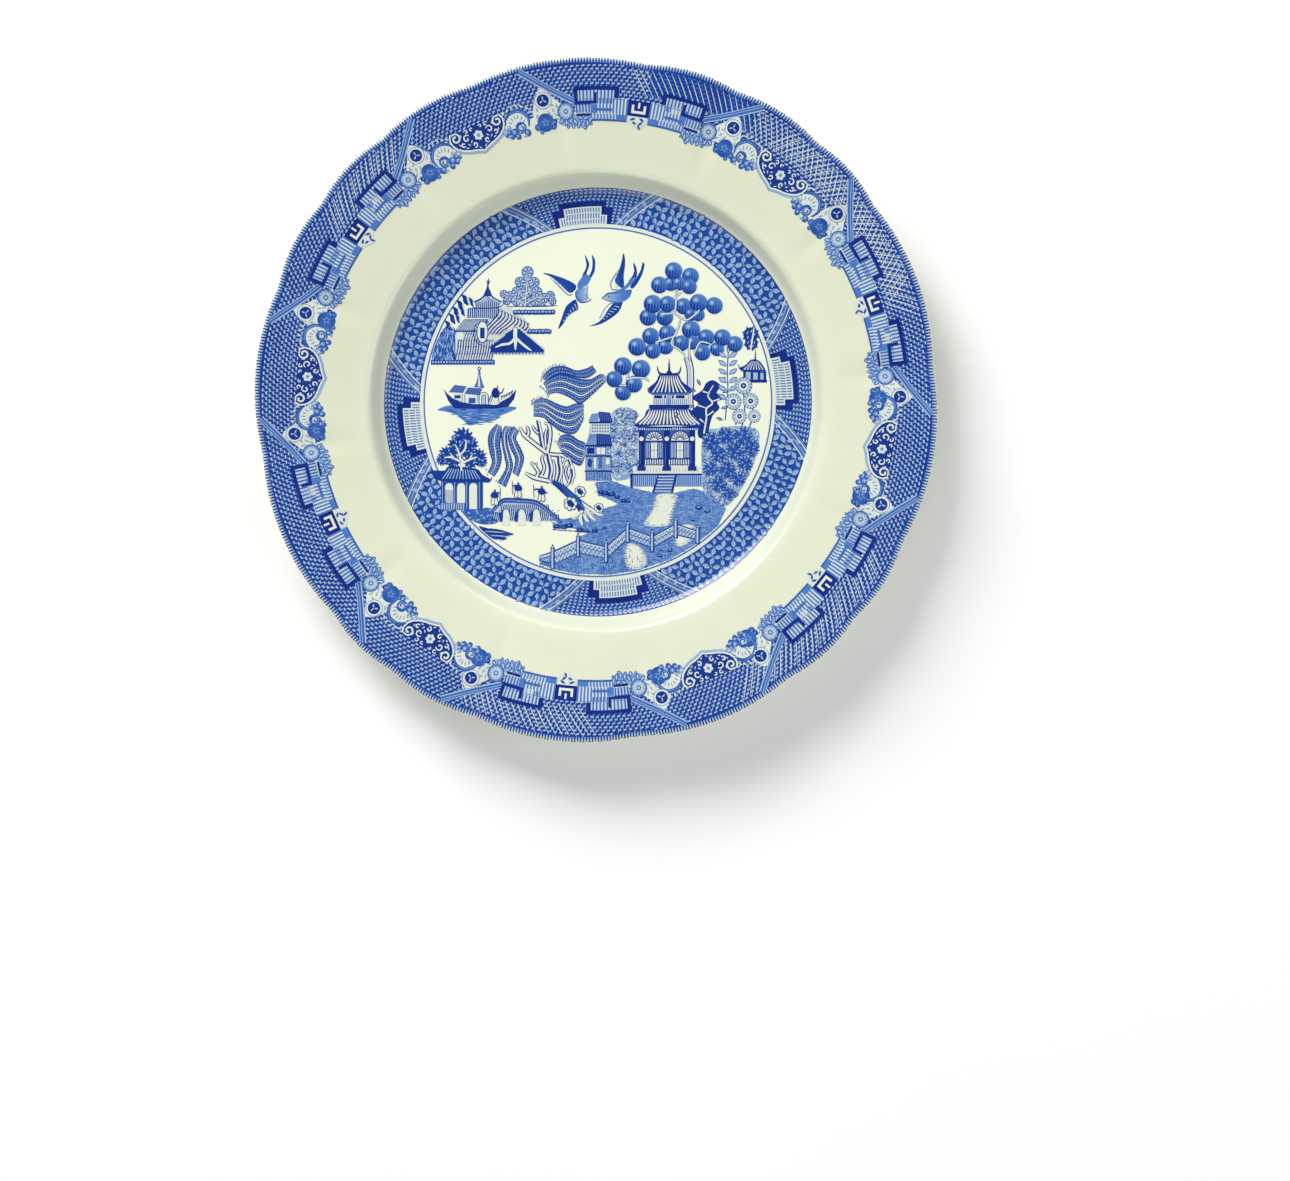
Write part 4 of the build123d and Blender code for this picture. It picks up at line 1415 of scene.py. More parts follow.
def scene_willow():
    """The great willow: swept plumes of leaf, bare forked branches and a leaning trunk on its roots."""
    art = Art("scene_willow")
    for top, bottom, bands in (
        (
            [
                (-21.6, 9.4), (-20.6, 11.4), (-17.4, 13.8), (-12.9, 14),
                (-8.3, 12.4), (-4.4, 13.2), (-1.8, 14.6),
            ],
            [
                (-20.2, 8.4), (-17.6, 10.4), (-14, 11.4), (-10.4, 10.6),
                (-6.8, 9.8), (-3.6, 10), (-0.4, 12.2),
            ],
            1,
        ),
        (
            [
                (-21.4, 7.8), (-18.6, 9.4), (-14.6, 11), (-10.4, 10),
                (-6.4, 9), (-2.4, 9), (1.2, 11), (3.2, 10.2),
            ],
            [
                (-19.2, 3.2), (-16.4, 4), (-12.9, 3.1), (-9.4, 1.2),
                (-7, -0.4), (-4.4, 1.2), (-0.8, 4.4), (3.2, 8.2),
            ],
            3,
        ),
        (
            [
                (-25.2, 0.4), (-22, 1.6), (-19.4, 1), (-16.2, -0.6),
                (-12.2, -1.8), (-8.6, -0.6), (-5.4, -0.8),
            ],
            [
                (-25.2, -5.4), (-21.4, -5.8), (-18.6, -8), (-15.2, -10.8),
                (-11.2, -12.2), (-8.2, -11.4), (-5.4, -6.4),
            ],
            4,
        ),
        (
            [(-15.9, -16.4), (-14.2, -13.2), (-10.6, -13), (-7.6, -15), (-5, -16.2), (-4.7, -19)],
            [(-14.6, -18.6), (-12.9, -20.8), (-10.9, -22.6), (-9.2, -23.8), (-6.6, -24.6), (-5, -21)],
            3,
        ),
        (
            [(-39.8, -8.4), (-42.4, -11.6), (-43.1, -15), (-42.5, -19.4), (-41.6, -23.6), (-43.4, -27.6)],
            [(-38, -9.4), (-38.2, -12.4), (-38.7, -16.6), (-38.1, -21.2), (-38.9, -25.6), (-41, -29.2)],
            2,
        ),
        (
            [(-36.4, -9.2), (-37.8, -12.2), (-37.5, -17), (-36.6, -21.6), (-36.2, -26), (-39.6, -31.6)],
            [(-33.6, -9.6), (-35.7, -12.2), (-35.7, -16.6), (-34.5, -20.8), (-33.7, -25.6), (-36.4, -33.4)],
            2,
        ),
        (
            [(-33, -9.3), (-35.2, -13), (-34.3, -17.8), (-32.4, -22.4), (-33.5, -27.8)],
            [(-31, -11.2), (-32.4, -14.2), (-30.4, -18.4), (-29.3, -22.6), (-31.4, -29.2)],
            2,
        ),
    ):
        plume(art, top, bottom, bands)
    for spine in (
        [(-22.2, 8.6), (-21.2, 12), (-17.6, 14.6), (-12.9, 14.7)],
        [(-22.6, 6.4), (-20.4, 4.4), (-19.4, 2.4)],
        [(-25.8, -0.8), (-25.6, 1), (-22, 2.2)],
        [(-16.6, -15.4), (-15, -12.6)],
        [(-44, -26.4), (-43.6, -28.4)],
        [(-40, -30.8), (-38.8, -33)],
    ):
        for index, (x, y) in enumerate(curve(spine, steps=4)):
            art.petal(x, y, 1.5, 0.36, 120 if index % 2 else 50, 0.6, 3)

    def branch(path, width, ends=(1, 0.5)):
        art.line(path, width * 1.15 + 0.95, 0.88, 5, ends)
        art.line(path, width * 1.15, 0.02, 6, ends)

    def bough(path, width):
        """A branch in shade: dark down one side, pale down the other."""
        width *= 1.35
        art.line(path, width, 0.84, 6, (0.5, 0.5))
        art.line(shifted(path, 0.55 * width, 0.1), width * 0.6, 0.02, 7, (0.5, 0.5))
        art.line(shifted(path, 0.95 * width, 0.1), 0.26, 0.7, 7, (0.5, 0.5))

    branch([(-18.9, -31), (-22.7, -30.2), (-25.6, -29.4), (-28.6, -27.6)], 0.9)
    branch([(-24.2, -29.4), (-23.4, -27.6), (-24.6, -25.4), (-26.4, -23.4)], 0.7)
    branch([(-24.8, -25.8), (-23.9, -23.6)], 0.45)
    bough([(-19.4, -29.8), (-18.6, -26.4), (-19.4, -22.6), (-20, -20)], 0.95)
    branch([(-22, -28.6), (-21, -25.6), (-21.9, -22.4), (-21.2, -20.4)], 0.6)
    branch([(-19.8, -20), (-23.3, -17.4), (-27.6, -14), (-29.4, -12.2), (-30.6, -9.6)], 0.9)
    branch([(-27.9, -13.8), (-27.2, -11.6), (-28, -9.2)], 0.6)
    bough([(-21.6, -18.6), (-22.4, -15), (-23, -11), (-24, -7)], 0.85)
    branch([(-22.9, -12.4), (-24.6, -11), (-25.8, -9.2)], 0.5)
    branch([(-19.8, -19.6), (-18.8, -14.6), (-18.7, -10.8), (-19.4, -8.6), (-21, -8)], 0.8)
    branch([(-20.4, -17.4), (-20.6, -13), (-20, -10.4)], 0.5)
    branch([(-19.8, -20.2), (-16.6, -20.6), (-14, -20.8), (-11.8, -22.4)], 0.7)
    bough([(-16, -31.4), (-14.8, -27.4), (-15.3, -23.6), (-15.6, -21)], 0.9)
    branch([(-17.6, -30.8), (-16.9, -26.6), (-17.6, -22.4)], 0.5)
    ring = [
        (
            -12.3 + 1.9 * math.cos(math.radians(a)) + 0.6 * math.sin(math.radians(a)),
            -27.6 + 5.6 * math.sin(math.radians(a)),
        )
        for a in range(0, 360, 30)
    ]
    art.line(ring, 1.1, 0.82, 5, closed=True)
    art.line(ring, 0.5, 0.02, 6, closed=True)
    bough([(-11, -32.2), (-9.9, -28.8), (-10.4, -25.4), (-11.6, -22.8)], 0.8)
    branch([(-11.4, -31.2), (-12.6, -27.6), (-11.6, -24.6)], 0.4)
    upper = [(-18.9, -30.8), (-15.2, -32.2), (-12, -34.4), (-9, -36.6), (-4.2, -40.2), (1, -43.4)]
    lower = [(-19, -31.6), (-16.4, -33.4), (-13.2, -36.2), (-9.6, -39.6), (-7.8, -42.2), (-7, -45)]
    ribbons(art, upper, lower, 0, 0.03, 0.03, 0.4, 6)
    art.line(upper, 0.42, 0.78, 8, (0.6, 1))
    art.line(shifted(lower, 1.2, 0.8), 2.9, 0.8, 7, (0.3, 0.8))
    art.line(shifted(lower, 0.5, 0.2), 1.2, 0.92, 7, (0.3, 1))
    art.line(shifted(lower[1:], 1.9, 0.7), 0.3, 0.55, 8, (0.4, 1))
    art.line(shifted(upper[2:], -1.6, -0.7), 0.26, 0.5, 8, (0.4, 1))
    for root in (
        [(-6, -42.6), (-6.6, -45.6), (-5.9, -48.6)],
        [(-5.2, -42.8), (-4.6, -45.4), (-3.4, -47.2)],
        [(-4, -42.6), (-2.4, -44.8), (-0.6, -46.6)],
        [(-3, -41.4), (0, -43.6), (2.6, -44.4)],
        [(-6.6, -43.4), (-8.6, -45.2), (-10.2, -45.6)],
    ):
        art.line(root, 1.5, 0.02, 8, (1, 0.15))
        art.line(shifted(root, 0.6), 0.28, 0.7, 9, (1, 0.3))
    for x, y, size in ((-10.6, -39.9, 1.7), (-6.8, -35.2, 1.4), (0.6, -41.6, 1.2)):
        for leaf in range(7):
            turn = 360 * leaf / 7
            art.disc(*off(x, y, turn, size * 1.1), size * 0.62, 0.75, 9, 10)
        for leaf in range(7):
            turn = 360 * leaf / 7
            art.disc(*off(x, y, turn, size * 1.05), size * 0.46, 0.03, 10, 10)
        art.fill(
            [
                (x - size, y + size * 0.6), (x, y + size), (x + size, y - size * 0.2),
                (x + size * 0.4, y - size), (x - size * 0.6, y - size * 0.5),
            ],
            0.93, 11,
        )


def scene_left_bank():
    """The small tree and the gatehouse at the left end of the bridge, on its bank."""
    art = Art("scene_left_bank")
    dark, pale = 0.88, 0.03
    lobes = (
        (-53.4, -14, 3.6), (-55.9, -16.8, 2.9), (-50.6, -16.6, 2.9), (-53.2, -18.6, 3),
        (-59.6, -20.6, 2.9), (-61.6, -22.6, 2), (-57.2, -23, 2.6), (-47.4, -21.4, 2.9), (-50.2, -23.2, 2.5),
        (-45.8, -23.4, 1.9),
    )
    for x, y, size in lobes:
        bush(art, x, y, size * 1.05, 0.8)
    for path in (
        [(-53.8, -26.8), (-54.2, -23), (-55, -19.4), (-56.4, -16.4)],
        [(-54.6, -20.8), (-52.4, -18.2), (-52, -14.6)],
        [(-54.2, -23.4), (-57.6, -21.6), (-60.4, -21.6)],
        [(-54, -24.2), (-50.4, -22.4), (-47.6, -21.4)],
        [(-57, -21.8), (-58.4, -19.8)],
        [(-50.6, -22.5), (-49.6, -20.4)],
    ):
        art.line(path, 0.7, pale, 6, (1, 0.4))
    art.blob(
        [
            (-65.4, -27), (-60.6, -26.8), (-58.6, -25.2), (-48.2, -26), (-45.6, -28.4), (-42.2, -30.4),
            (-43.6, -31.6), (-47.4, -30.8), (-62.6, -30.8),
        ],
        dark, 5,
    )
    stripes(art, [(-62, -30), (-45.8, -30.2)], [(-59, -26), (-48.4, -26.7)], 12, 0.34, 0.24, 6)
    art.line(
        [(-65.8, -26.2), (-62.2, -30.6), (-46.8, -31), (-43.2, -31.2), (-41.6, -29.4)], 0.55, 0.92, 7,
        (0.4, 0.4),
    )
    art.grid(-61.6, -45.2, -42, -30.8, pale, 3)
    for x, wide in ((-61.2, 0.8), (-56.4, 0.75), (-51.6, 0.8), (-46.5, 1.15)):
        art.grid(x - wide, x + wide, -42.2, -30.8, 0.76, 5)
        art.line([(x - wide * 0.2, -41.8), (x - wide * 0.2, -31.2)], 0.24, 0.3, 6)
        art.line([(x + wide * 0.8, -41.8), (x + wide * 0.8, -31.2)], 0.3, 0.92, 6)
    for x in (-58.8, -54, -49.1):
        arch = arched(x, -33.6, 1.7, 1.9, 30)
        art.fill([(x - 1.7, -31.2)] + arch + [(x + 1.7, -31.2)], 0.7, 4)
    hatch(art, -60.4, -57.2, -41.8, -34.4, 0.8, 0.66, 4)
    art.grid(-62.2, -52.4, -42.4, -39.6, 0.66, 5)
    hatch(art, -62, -52.6, -42.2, -39.8, 0.9, 0.2, 6)
    bank = [
        (-54, -42.2), (-48.6, -42), (-42.4, -41.6), (-41.2, -44), (-39.2, -46.8), (-41.6, -48), (-46, -48),
        (-50.4, -46.2),
    ]
    art.blob(bank, 0.6, 1)
    leafy(art, bank, 1.1, 1.2, 0.42, [0.85, 0.74, 0.2], 31, 2, 20, 50)
    art.blob(
        [
            (-47, -48.8), (-42.6, -49.8), (-38, -50.4), (-33, -52), (-36.4, -52.8), (-36, -54),
            (-40.8, -54), (-44.4, -51.6),
        ],
        0.78, 2,
    )
    for x0, x1, y in ((-45.6, -36.4, -50.2), (-43.4, -34.6, -51.8), (-40.8, -36.6, -53.4)):
        art.line([(x0, y + 0.4), ((x0 + x1) / 2, y), (x1, y - 0.6)], 0.8, 0.92, 3, (0.3, 0.2))
        art.line([(x0 + 1, y - 0.6), ((x0 + x1) / 2, y - 0.8), (x1, y - 1.2)], 0.36, 0.2, 4, (0.3, 0.2))


def scene_bridge():
    """The bridge of three arches, with three plain little walkers."""
    art = Art("scene_bridge")
    dark, mid, pale = 0.88, 0.62, 0.03
    deck = [
        (-41.6, -42), (-37.8, -38.2), (-34.4, -37.8), (-30.8, -38), (-26.8, -38.2), (-23.6, -39),
        (-19.8, -41.6), (-15, -46.2),
    ]
    base = shifted(deck, 0, -1.8)
    foot = [
        (-41.8, -45.4), (-38.2, -46.9), (-34.4, -46.9), (-30.8, -46.9), (-26.8, -46.9), (-23, -46.9),
        (-19, -47), (-15.4, -47.8),
    ]
    ribbons(art, base, foot, 0, 0.16, 0.2, 0.4, 2)
    for index in range(34):
        x = -41.4 + 0.78 * index
        art.line(
            [
                (x, -44 if x < -39 or x > -19 else -40.2), (x + 0.4, -43.4 if x < -19 else -45.6),
                (x - 0.3, -46.6),
            ],
            0.4, 0.82, 3,
        )
        art.petal(x + 0.4, -42.6 - 0.9 * (index % 3), 1, 0.34, 25, 0.7, 4)
    ribbons(art, deck, base, 1, 0.62, 0.2, 0.3, 4)
    for x, y in curve(deck, steps=5):
        art.petal(x + 0.3, y - 0.9, 1.4, 0.36, 60, 0.84, 5)
    for x, wide in ((-36.2, 1.5), (-30, 1.6), (-24.2, 1.6)):
        arch = arched(x, -44.6, wide, 2.6)
        art.fill([(x - wide, -48.4)] + arch + [(x + wide, -48.4)], pale, 6)
        art.fill(
            [
                (x - wide - 1.1, -47), (x - wide - 1, -43.8), (x - wide + 0.5, -42.2),
                (x - wide + 0.35, -44.8), (x - wide + 0.1, -47),
            ],
            dark, 7,
        )
        art.line(arch, 0.3, mid, 7)
    art.line(deck, 0.4, dark, 8)
    for x, y, lean in ((-40.7, -36.4, 0.5), (-31.4, -33.6, -0.5), (-22.1, -35, -0.7)):
        robe = [
            (x - 0.9, y - 0.6), (x + 0.9, y - 0.6), (x + 1.5, y - 3.4), (x + 0.6, y - 4.2),
            (x - 0.2, y - 3.6), (x - 1.2, y - 4.2), (x - 1.5, y - 3),
        ]
        art.fill(robe, pale, 9)
        art.line(robe + robe[:1], 0.3, 0.84, 10, smooth=False)
        art.line([(x, y - 3.5), (x - 0.1, y - 1.2)], 0.24, 0.7, 10)
        art.blob(
            [
                (x - 1.5, y - 0.4), (x - 1, y + 0.9), (x + 0.1, y + 1.3), (x + 1.3, y + 0.6),
                (x + 1.4, y - 0.9), (x - 0.2, y - 1.4),
            ],
            0.92, 11,
        )
        art.petal(x + 0.1, y + 1.7, 1.2, 0.8, 90, 0.88, 11)
        for reach, rise in ((4.2 * lean, 0.9), (-3.4 * lean, -0.6)):
            art.line(
                [(x, y + 0.2), (x + 0.6 * reach, y + rise), (x + reach, y + rise * 0.6)], 0.55, 0.84, 10,
                (1, 0.4),
            )
        art.line([(x + 4.2 * lean, y - 2.6), (x + 4.6 * lean, y + 2.6)], 0.26, 0.76, 10)


def scene_ground():
    """The near ground and water, with the path's pale patches, stones and shores."""
    art = Art("scene_ground")
    ground = [
        (-0.8, -31.4), (6, -31), (13, -33.4), (22, -35.6), (30, -35.8), (38, -34), (45, -36), (50.8, -42),
        (47.6, -48.8), (38, -56.6), (28, -62.2), (16, -66.2), (4, -68), (-8, -67.6), (-16, -66.1),
        (-23.2, -63.6),
        (-20.5, -61.8), (-14, -58.6), (-8.2, -54.8), (-6.6, -52.6), (-3.4, -51.4), (-10, -49.6),
        (-17.6, -49.4), (-17.8, -46), (-12, -45.8), (-7, -44.6),
        (0.2, -42.8), (4.2, -41.4), (8.2, -40.2), (4.2, -38), (0.2, -36.6),
    ]
    art.fill(ground, 0.46, 1)
    draw = random.Random(3)
    for x, y in scatter(ground, 1, 14):
        shade = draw.choice([0.66, 0.6, 0.54, 0.36, 0.3])
        if draw.random() < 0.4:
            art.petal(x, y, draw.uniform(1, 2), 0.3, 90 + draw.uniform(-12, 12), shade, 2)
        else:
            art.petal(x, y, draw.uniform(1.6, 3.2), 0.3, draw.uniform(-10, 10), shade, 2)
    patches = (
        [
            (24.2, -36.6), (29.6, -36.4), (30.6, -38.4), (28.9, -43.6), (27.3, -48.2), (20.8, -48.6),
            (19.2, -47.2), (21.7, -43.6), (23.1, -40),
        ],
        [
            (13, -55.8), (16.3, -57.2), (18.8, -61), (18.4, -64.2), (15, -65.6), (12, -64), (11.5, -60.4),
            (12.2, -57.7),
        ],
        [(32, -50), (36, -48.4), (39, -51), (35, -55.4), (31.4, -56)],
    )
    for patch in patches:
        art.blob(patch, 0.02, 3)
        for x, y in curve(patch, True, 5):
            art.petal(x, y, draw.uniform(1.4, 3), 0.5, draw.uniform(-8, 8), 0.04, 3)
            art.petal(
                x + draw.uniform(-1.4, 1.4), y + 0.4, draw.uniform(1, 2.2), 0.26, draw.uniform(-8, 8), 0.34,
                4,
            )
    for x, y in scatter(ground, 2.2, 15):
        if y < -60:
            art.line([(x, y + 1.2), (x + 0.2, y - 0.6)], 0.34, draw.choice([0.7, 0.3]), 4, (0.2, 1))
    for x, y, size in (
        (1.4, -35.4, 1.2), (3, -35.8, 1.4), (5.6, -36.2, 1.5), (7.8, -37.4, 1.1), (10.4, -38.8, 1.3),
        (12, -39.2, 0.9),
        (-16.2, -49, 1.4), (-13.4, -49.2, 1.3), (-11.2, -48.6, 1.6), (-6.9, -50.4, 1.5), (-4.2, -50.8, 1.1),
        (-1, -50.4, 1.2), (2.6, -49.6, 0.8),
    ):
        stone = [
            (x - size, y - size * 0.5), (x - size * 0.8, y + size * 0.5), (x - size * 0.1, y + size * 0.45),
            (x + size * 0.2, y + size * 0.8), (x + size, y + size * 0.3), (x + size * 0.9, y - size * 0.6),
        ]
        art.fill(stone, 0.92, 4)
        art.petal(x, y + size * 0.1, size * 0.9, size * 0.26, 20, 0.4, 5)
    for x in range(9):
        art.petal(-16.8 + 2 * x, -50.2 - 0.14 * x, 2.6, 0.5, -4, 0.7, 3)
    for x, y, size in (
        (40, -41.6, 1.5), (43.4, -43, 1.2), (28.6, -58.4, 1.2), (24.8, -60.6, 1), (37.6, -46.4, 1),
    ):
        art.disc(x, y, size, 0.84, 4, 9, 0.6)
        art.petal(x, y + size * 0.2, size, size * 0.3, 0, 0.2, 5)


def scene_fence():
    """The zigzag fence across the front of the picture, with latticed rails between its posts."""
    art = Art("scene_fence")
    posts = [
        (-23, -60.6), (-17.7, -58.6), (-7.6, -54), (3.5, -56.6), (12, -49.2), (21.7, -52.6), (31, -47.6),
        (39.6, -50.6),
    ]
    tall = [1, 6.6, 6.4, 6, 5.6, 5.8, 5.4, 4.6]
    for (ax, ay), (bx, by), at, bt in zip(posts, posts[1:], tall, tall[1:]):
        drop = (at - 0.6, bt - 0.6) if ax > -20 else (2, bt - 1.4)
        art.fill([(ax, ay), (bx, by), (bx, by - drop[1]), (ax, ay - drop[0])], 0.3, 5)
        for share, width, shade in ((0.06, 0.5, 0.74), (0.18, 0.3, 0.06), (0.5, 0.3, 0.6), (0.92, 0.5, 0.74)):
            art.line([(ax, ay - drop[0] * share), (bx, by - drop[1] * share)], width, shade, 7)
        for index in range(7):
            t, u = index / 7, (index + 1) / 7
            for low, high in ((0.2, 0.5), (0.55, 0.9)):
                a, b = (ax + (bx - ax) * t, ay + (by - ay) * t), (ax + (bx - ax) * u, ay + (by - ay) * u)
                art.line([(a[0], a[1] - drop[0] * low), (b[0], b[1] - drop[1] * high)], 0.3, 0.62, 6)
                art.line([(a[0], a[1] - drop[0] * high), (b[0], b[1] - drop[1] * low)], 0.3, 0.06, 6)
    for (x, y), height_here in list(zip(posts, tall))[1:]:
        art.grid(x - 0.85, x + 0.85, y - height_here - 0.6, y + 1, 0.8, 8)
        art.line([(x - 0.1, y - height_here - 0.2), (x - 0.1, y + 1)], 0.7, 0.16, 9)
        art.line([(x + 0.25, y - height_here), (x + 0.25, y + 0.8)], 0.22, 0.55, 10)
        art.fill(
            [(x - 0.85, y + 1), (x + 0.85, y + 1), (x + 0.5, y + 1.7), (x, y + 2.9), (x - 0.5, y + 1.7)],
            0.8, 8,
        )
        art.disc(x, y + 1.6, 0.32, 0.1, 9, 8)


def scene_right_garden():
    """Shrubs, a tall leafy stem and eye-like flowers to the right of the pagoda."""
    art = Art("scene_right_garden")
    dark, pale = 0.93, 0.04
    lobes = [
        (45, 8.6), (46.9, 6.4), (45.9, 3.6), (47.8, 1.4), (46, 0.2), (46.6, -2.4), (45, -5), (44.2, -8.6),
        (43.4, -13.6), (41.2, -13.6), (41, -7.4), (39.4, -3.8), (41.2, -0.6), (39.6, 1.8), (42.2, 4.6),
        (43.2, 7.4),
    ]
    wide = [(43.8 + 1.55 * (x - 43.8), y) for x, y in lobes]
    art.blob(wide, dark, 3)
    for path in (
        [(45.8, 6.6), (43.6, 2.6), (45.4, -0.4), (43, -2.6), (43, -6.4), (42, -12.4)],
        [(44.4, 3.4), (41.6, 4.2)],
        [(45, 0.2), (48.2, 1.2)],
        [(43, -2.4), (39.6, -1.2)],
        [(43, -5.6), (45.8, -3.6)],
        [(42.6, -8.6), (40.4, -6.6)],
    ):
        art.line(path, 0.62, pale, 4, (0.5, 1))
    for x, y, turn in (
        (40, 7.8, 120), (49.6, 8.8, 50), (50.6, 4.2, 20), (37.6, 4.8, 160), (50.2, -2.2, 10),
        (36.8, -1.6, 170), (48.2, -6.6, -20), (37.8, -8.8, 200),
    ):
        art.petal(x, y, 3, 1.3, turn, dark, 3)
        art.petal(x, y, 1.8, 0.3, turn, 0.1, 4)
    art.line([(51.6, 19.6), (51.2, 12), (51.4, 4), (50.4, -7)], 0.5, 0.6, 3)
    for index in range(6):
        y = 17.4 - 3.3 * index
        for side in (-1, 1):
            turn = 35 if side > 0 else 145
            art.petal(51.4 + side * 2.1, y + 1.2, 4.2, 2.1, turn, 0.62, 3)
            art.petal(51.4 + side * 2.1, y + 1.2, 3.6, 1.5, turn, 0.34, 4)
            art.petal(51.4 + side * 2.1, y + 1.2, 2.4, 0.3, turn, 0.08, 5)
    art.petal(51.6, 20.6, 3.4, 1.7, 90, 0.5, 3)
    art.petal(51.6, 20.6, 2.2, 0.4, 90, 0.1, 4)
    for path in (
        [(57.6, 3), (58, -4), (56.4, -12)], [(54.4, -2), (54.6, -9)], [(61.4, -1), (60.6, -8), (58, -14)],
    ):
        art.line(path, 0.5, 0.72, 3)
    for x, y, size in (
        (57.6, 6.4, 3.4), (53.6, 0.2, 3.2), (60.4, 0.4, 3.1), (56, -5.6, 2.9), (61.8, -5.6, 2.5),
    ):
        art.disc(x, y, size, 0.66, 4, 22)
        art.disc(x, y, size * 0.92, 0.36, 5, 22)
        for spoke in range(14):
            turn = 360 * spoke / 14
            art.petal(*off(x, y, turn, 0.78 * size), size * 0.44, 0.5, turn, 0.06, 6)
        art.disc(x, y, size * 0.55, 0.03, 7, 18)
        art.disc(x, y, size * 0.34, 0.86, 8, 12)
        art.disc(x, y, size * 0.12, 0.2, 9, 7)
    bank = [
        (41.6, -13), (48, -10.4), (55.6, -9.4), (63.4, -11.4), (63, -19.8), (59.8, -28.6), (54.6, -37.4),
        (50.2, -41), (44.6, -37.6), (41.6, -33.6),
    ]
    art.blob(bank, 0.3, 2)
    open_rings(art, bank, [0.84, 0.7, 0.86, 0.05], 17, 9)
    for x, y, size in (
        (45, -15.6, 3.2), (50.8, -13.4, 3), (57.4, -13.6, 3.2), (60.8, -18.2, 2.8), (47.8, -20.8, 2.9),
        (54.2, -19.4, 3.2),
        (58.4, -24.2, 2.7), (44.6, -26.4, 2.7), (51.4, -26.6, 3), (55.6, -30.4, 2.5), (47.8, -32.4, 2.7),
        (51.8, -36, 2.2),
    ):
        bush(art, x, y, size, 0.7, 5)


def scene_right_house():
    """The roof and posts of a second house, and a dark tree behind it, at the right edge."""
    art = Art("scene_right_house")
    dark, pale = 0.93, 0.04
    art.line([(62.3, 20.6), (62.2, 16)], 0.55, dark, 4, (0.3, 1.3))
    art.blob(
        [
            (56, 13.4), (58.4, 14.6), (60.6, 16.6), (63.4, 16.4), (65.6, 13.8), (66, 11.6), (60, 12.2),
            (57, 12.2),
        ],
        0.86, 3,
    )
    fan(art, 7, [(60.9, 16), (57.8, 12.7)], [(2.2, 0), (7.4, 0)], 0.4, 0.1, 4, (0.4, 1))
    art.line([(55.4, 15), (56.6, 12.6), (60, 12), (66.2, 11.6)], 0.5, dark, 5, (0.4, 1))
    art.grid(57.4, 66, 8.6, 12, 0.25, 3)
    for x in (58, 60.9, 63.7, 66):
        art.grid(x - 0.5, x + 0.5, 8.6, 12, dark, 4)
    art.grid(56.2, 66.8, 7.6, 8.8, dark, 4)
    for y, size in ((33.4, 2.6), (30.2, 3), (26.4, 3), (23, 2.6)):
        for shift in (-1.6, 1.2):
            x = 61.8 + shift + 0.06 * (30 - y)
            if math.hypot(x, y) > 66:
                continue
            art.disc(x, y, size, 0.88, 2, 12)
            for leaf in range(8):
                turn = 360 * leaf / 8 + math.degrees(y)
                art.petal(*off(x, y, turn, size), size * 0.5, size * 0.24, turn, 0.88, 2)
            for leaf in range(5):
                turn = 360 * leaf / 5 + math.degrees(x)
                art.petal(*off(x, y, turn, size * 0.5), size * 0.5, size * 0.14, 60, 0.2, 3)
    art.line([(60.4, 20.6), (61, 24.4), (61.8, 29.4)], 0.6, pale, 4, (1, 0.5))


def draw_print():
    """Draws the whole print, from the rim inwards."""
    border_ground()
    border_weave()
    border_lines()
    border_comb()
    for number, angle in enumerate(FRETS, 1):
        border_fret(number, angle)
        border_leaves(number, angle)
        border_bars(number, angle)
    for number, angle in enumerate(CARTOUCHES, 1):
        border_cartouche(number, angle)
        border_wave(number, angle)
    band_ground()
    band_petals()
    for number, angle in enumerate(PANELS, 1):
        band_panel(number, angle)
    ring_band("well_lines", [(68.35, 68.95, 0.55), (69, 70.3, 0.03)])
    scene_ground()
    scene_left_bank()
    scene_bridge()
    scene_willow()
    scene_garden()
    scene_tower()
    scene_right_garden()
    scene_fruit_tree()
    scene_pagoda()
    scene_fence()
    scene_island()
    scene_boat()
    scene_doves()
    scene_right_house()


# ================ the glazed body
def srgb(*channels):
    """Linear colour, with alpha, of a colour given as 0 to 255 screen values."""
    return tuple(((c / 255 + 0.055) / 1.055) ** 2.4 if c > 10 else c / 255 / 12.92 for c in channels) + (1.0,)


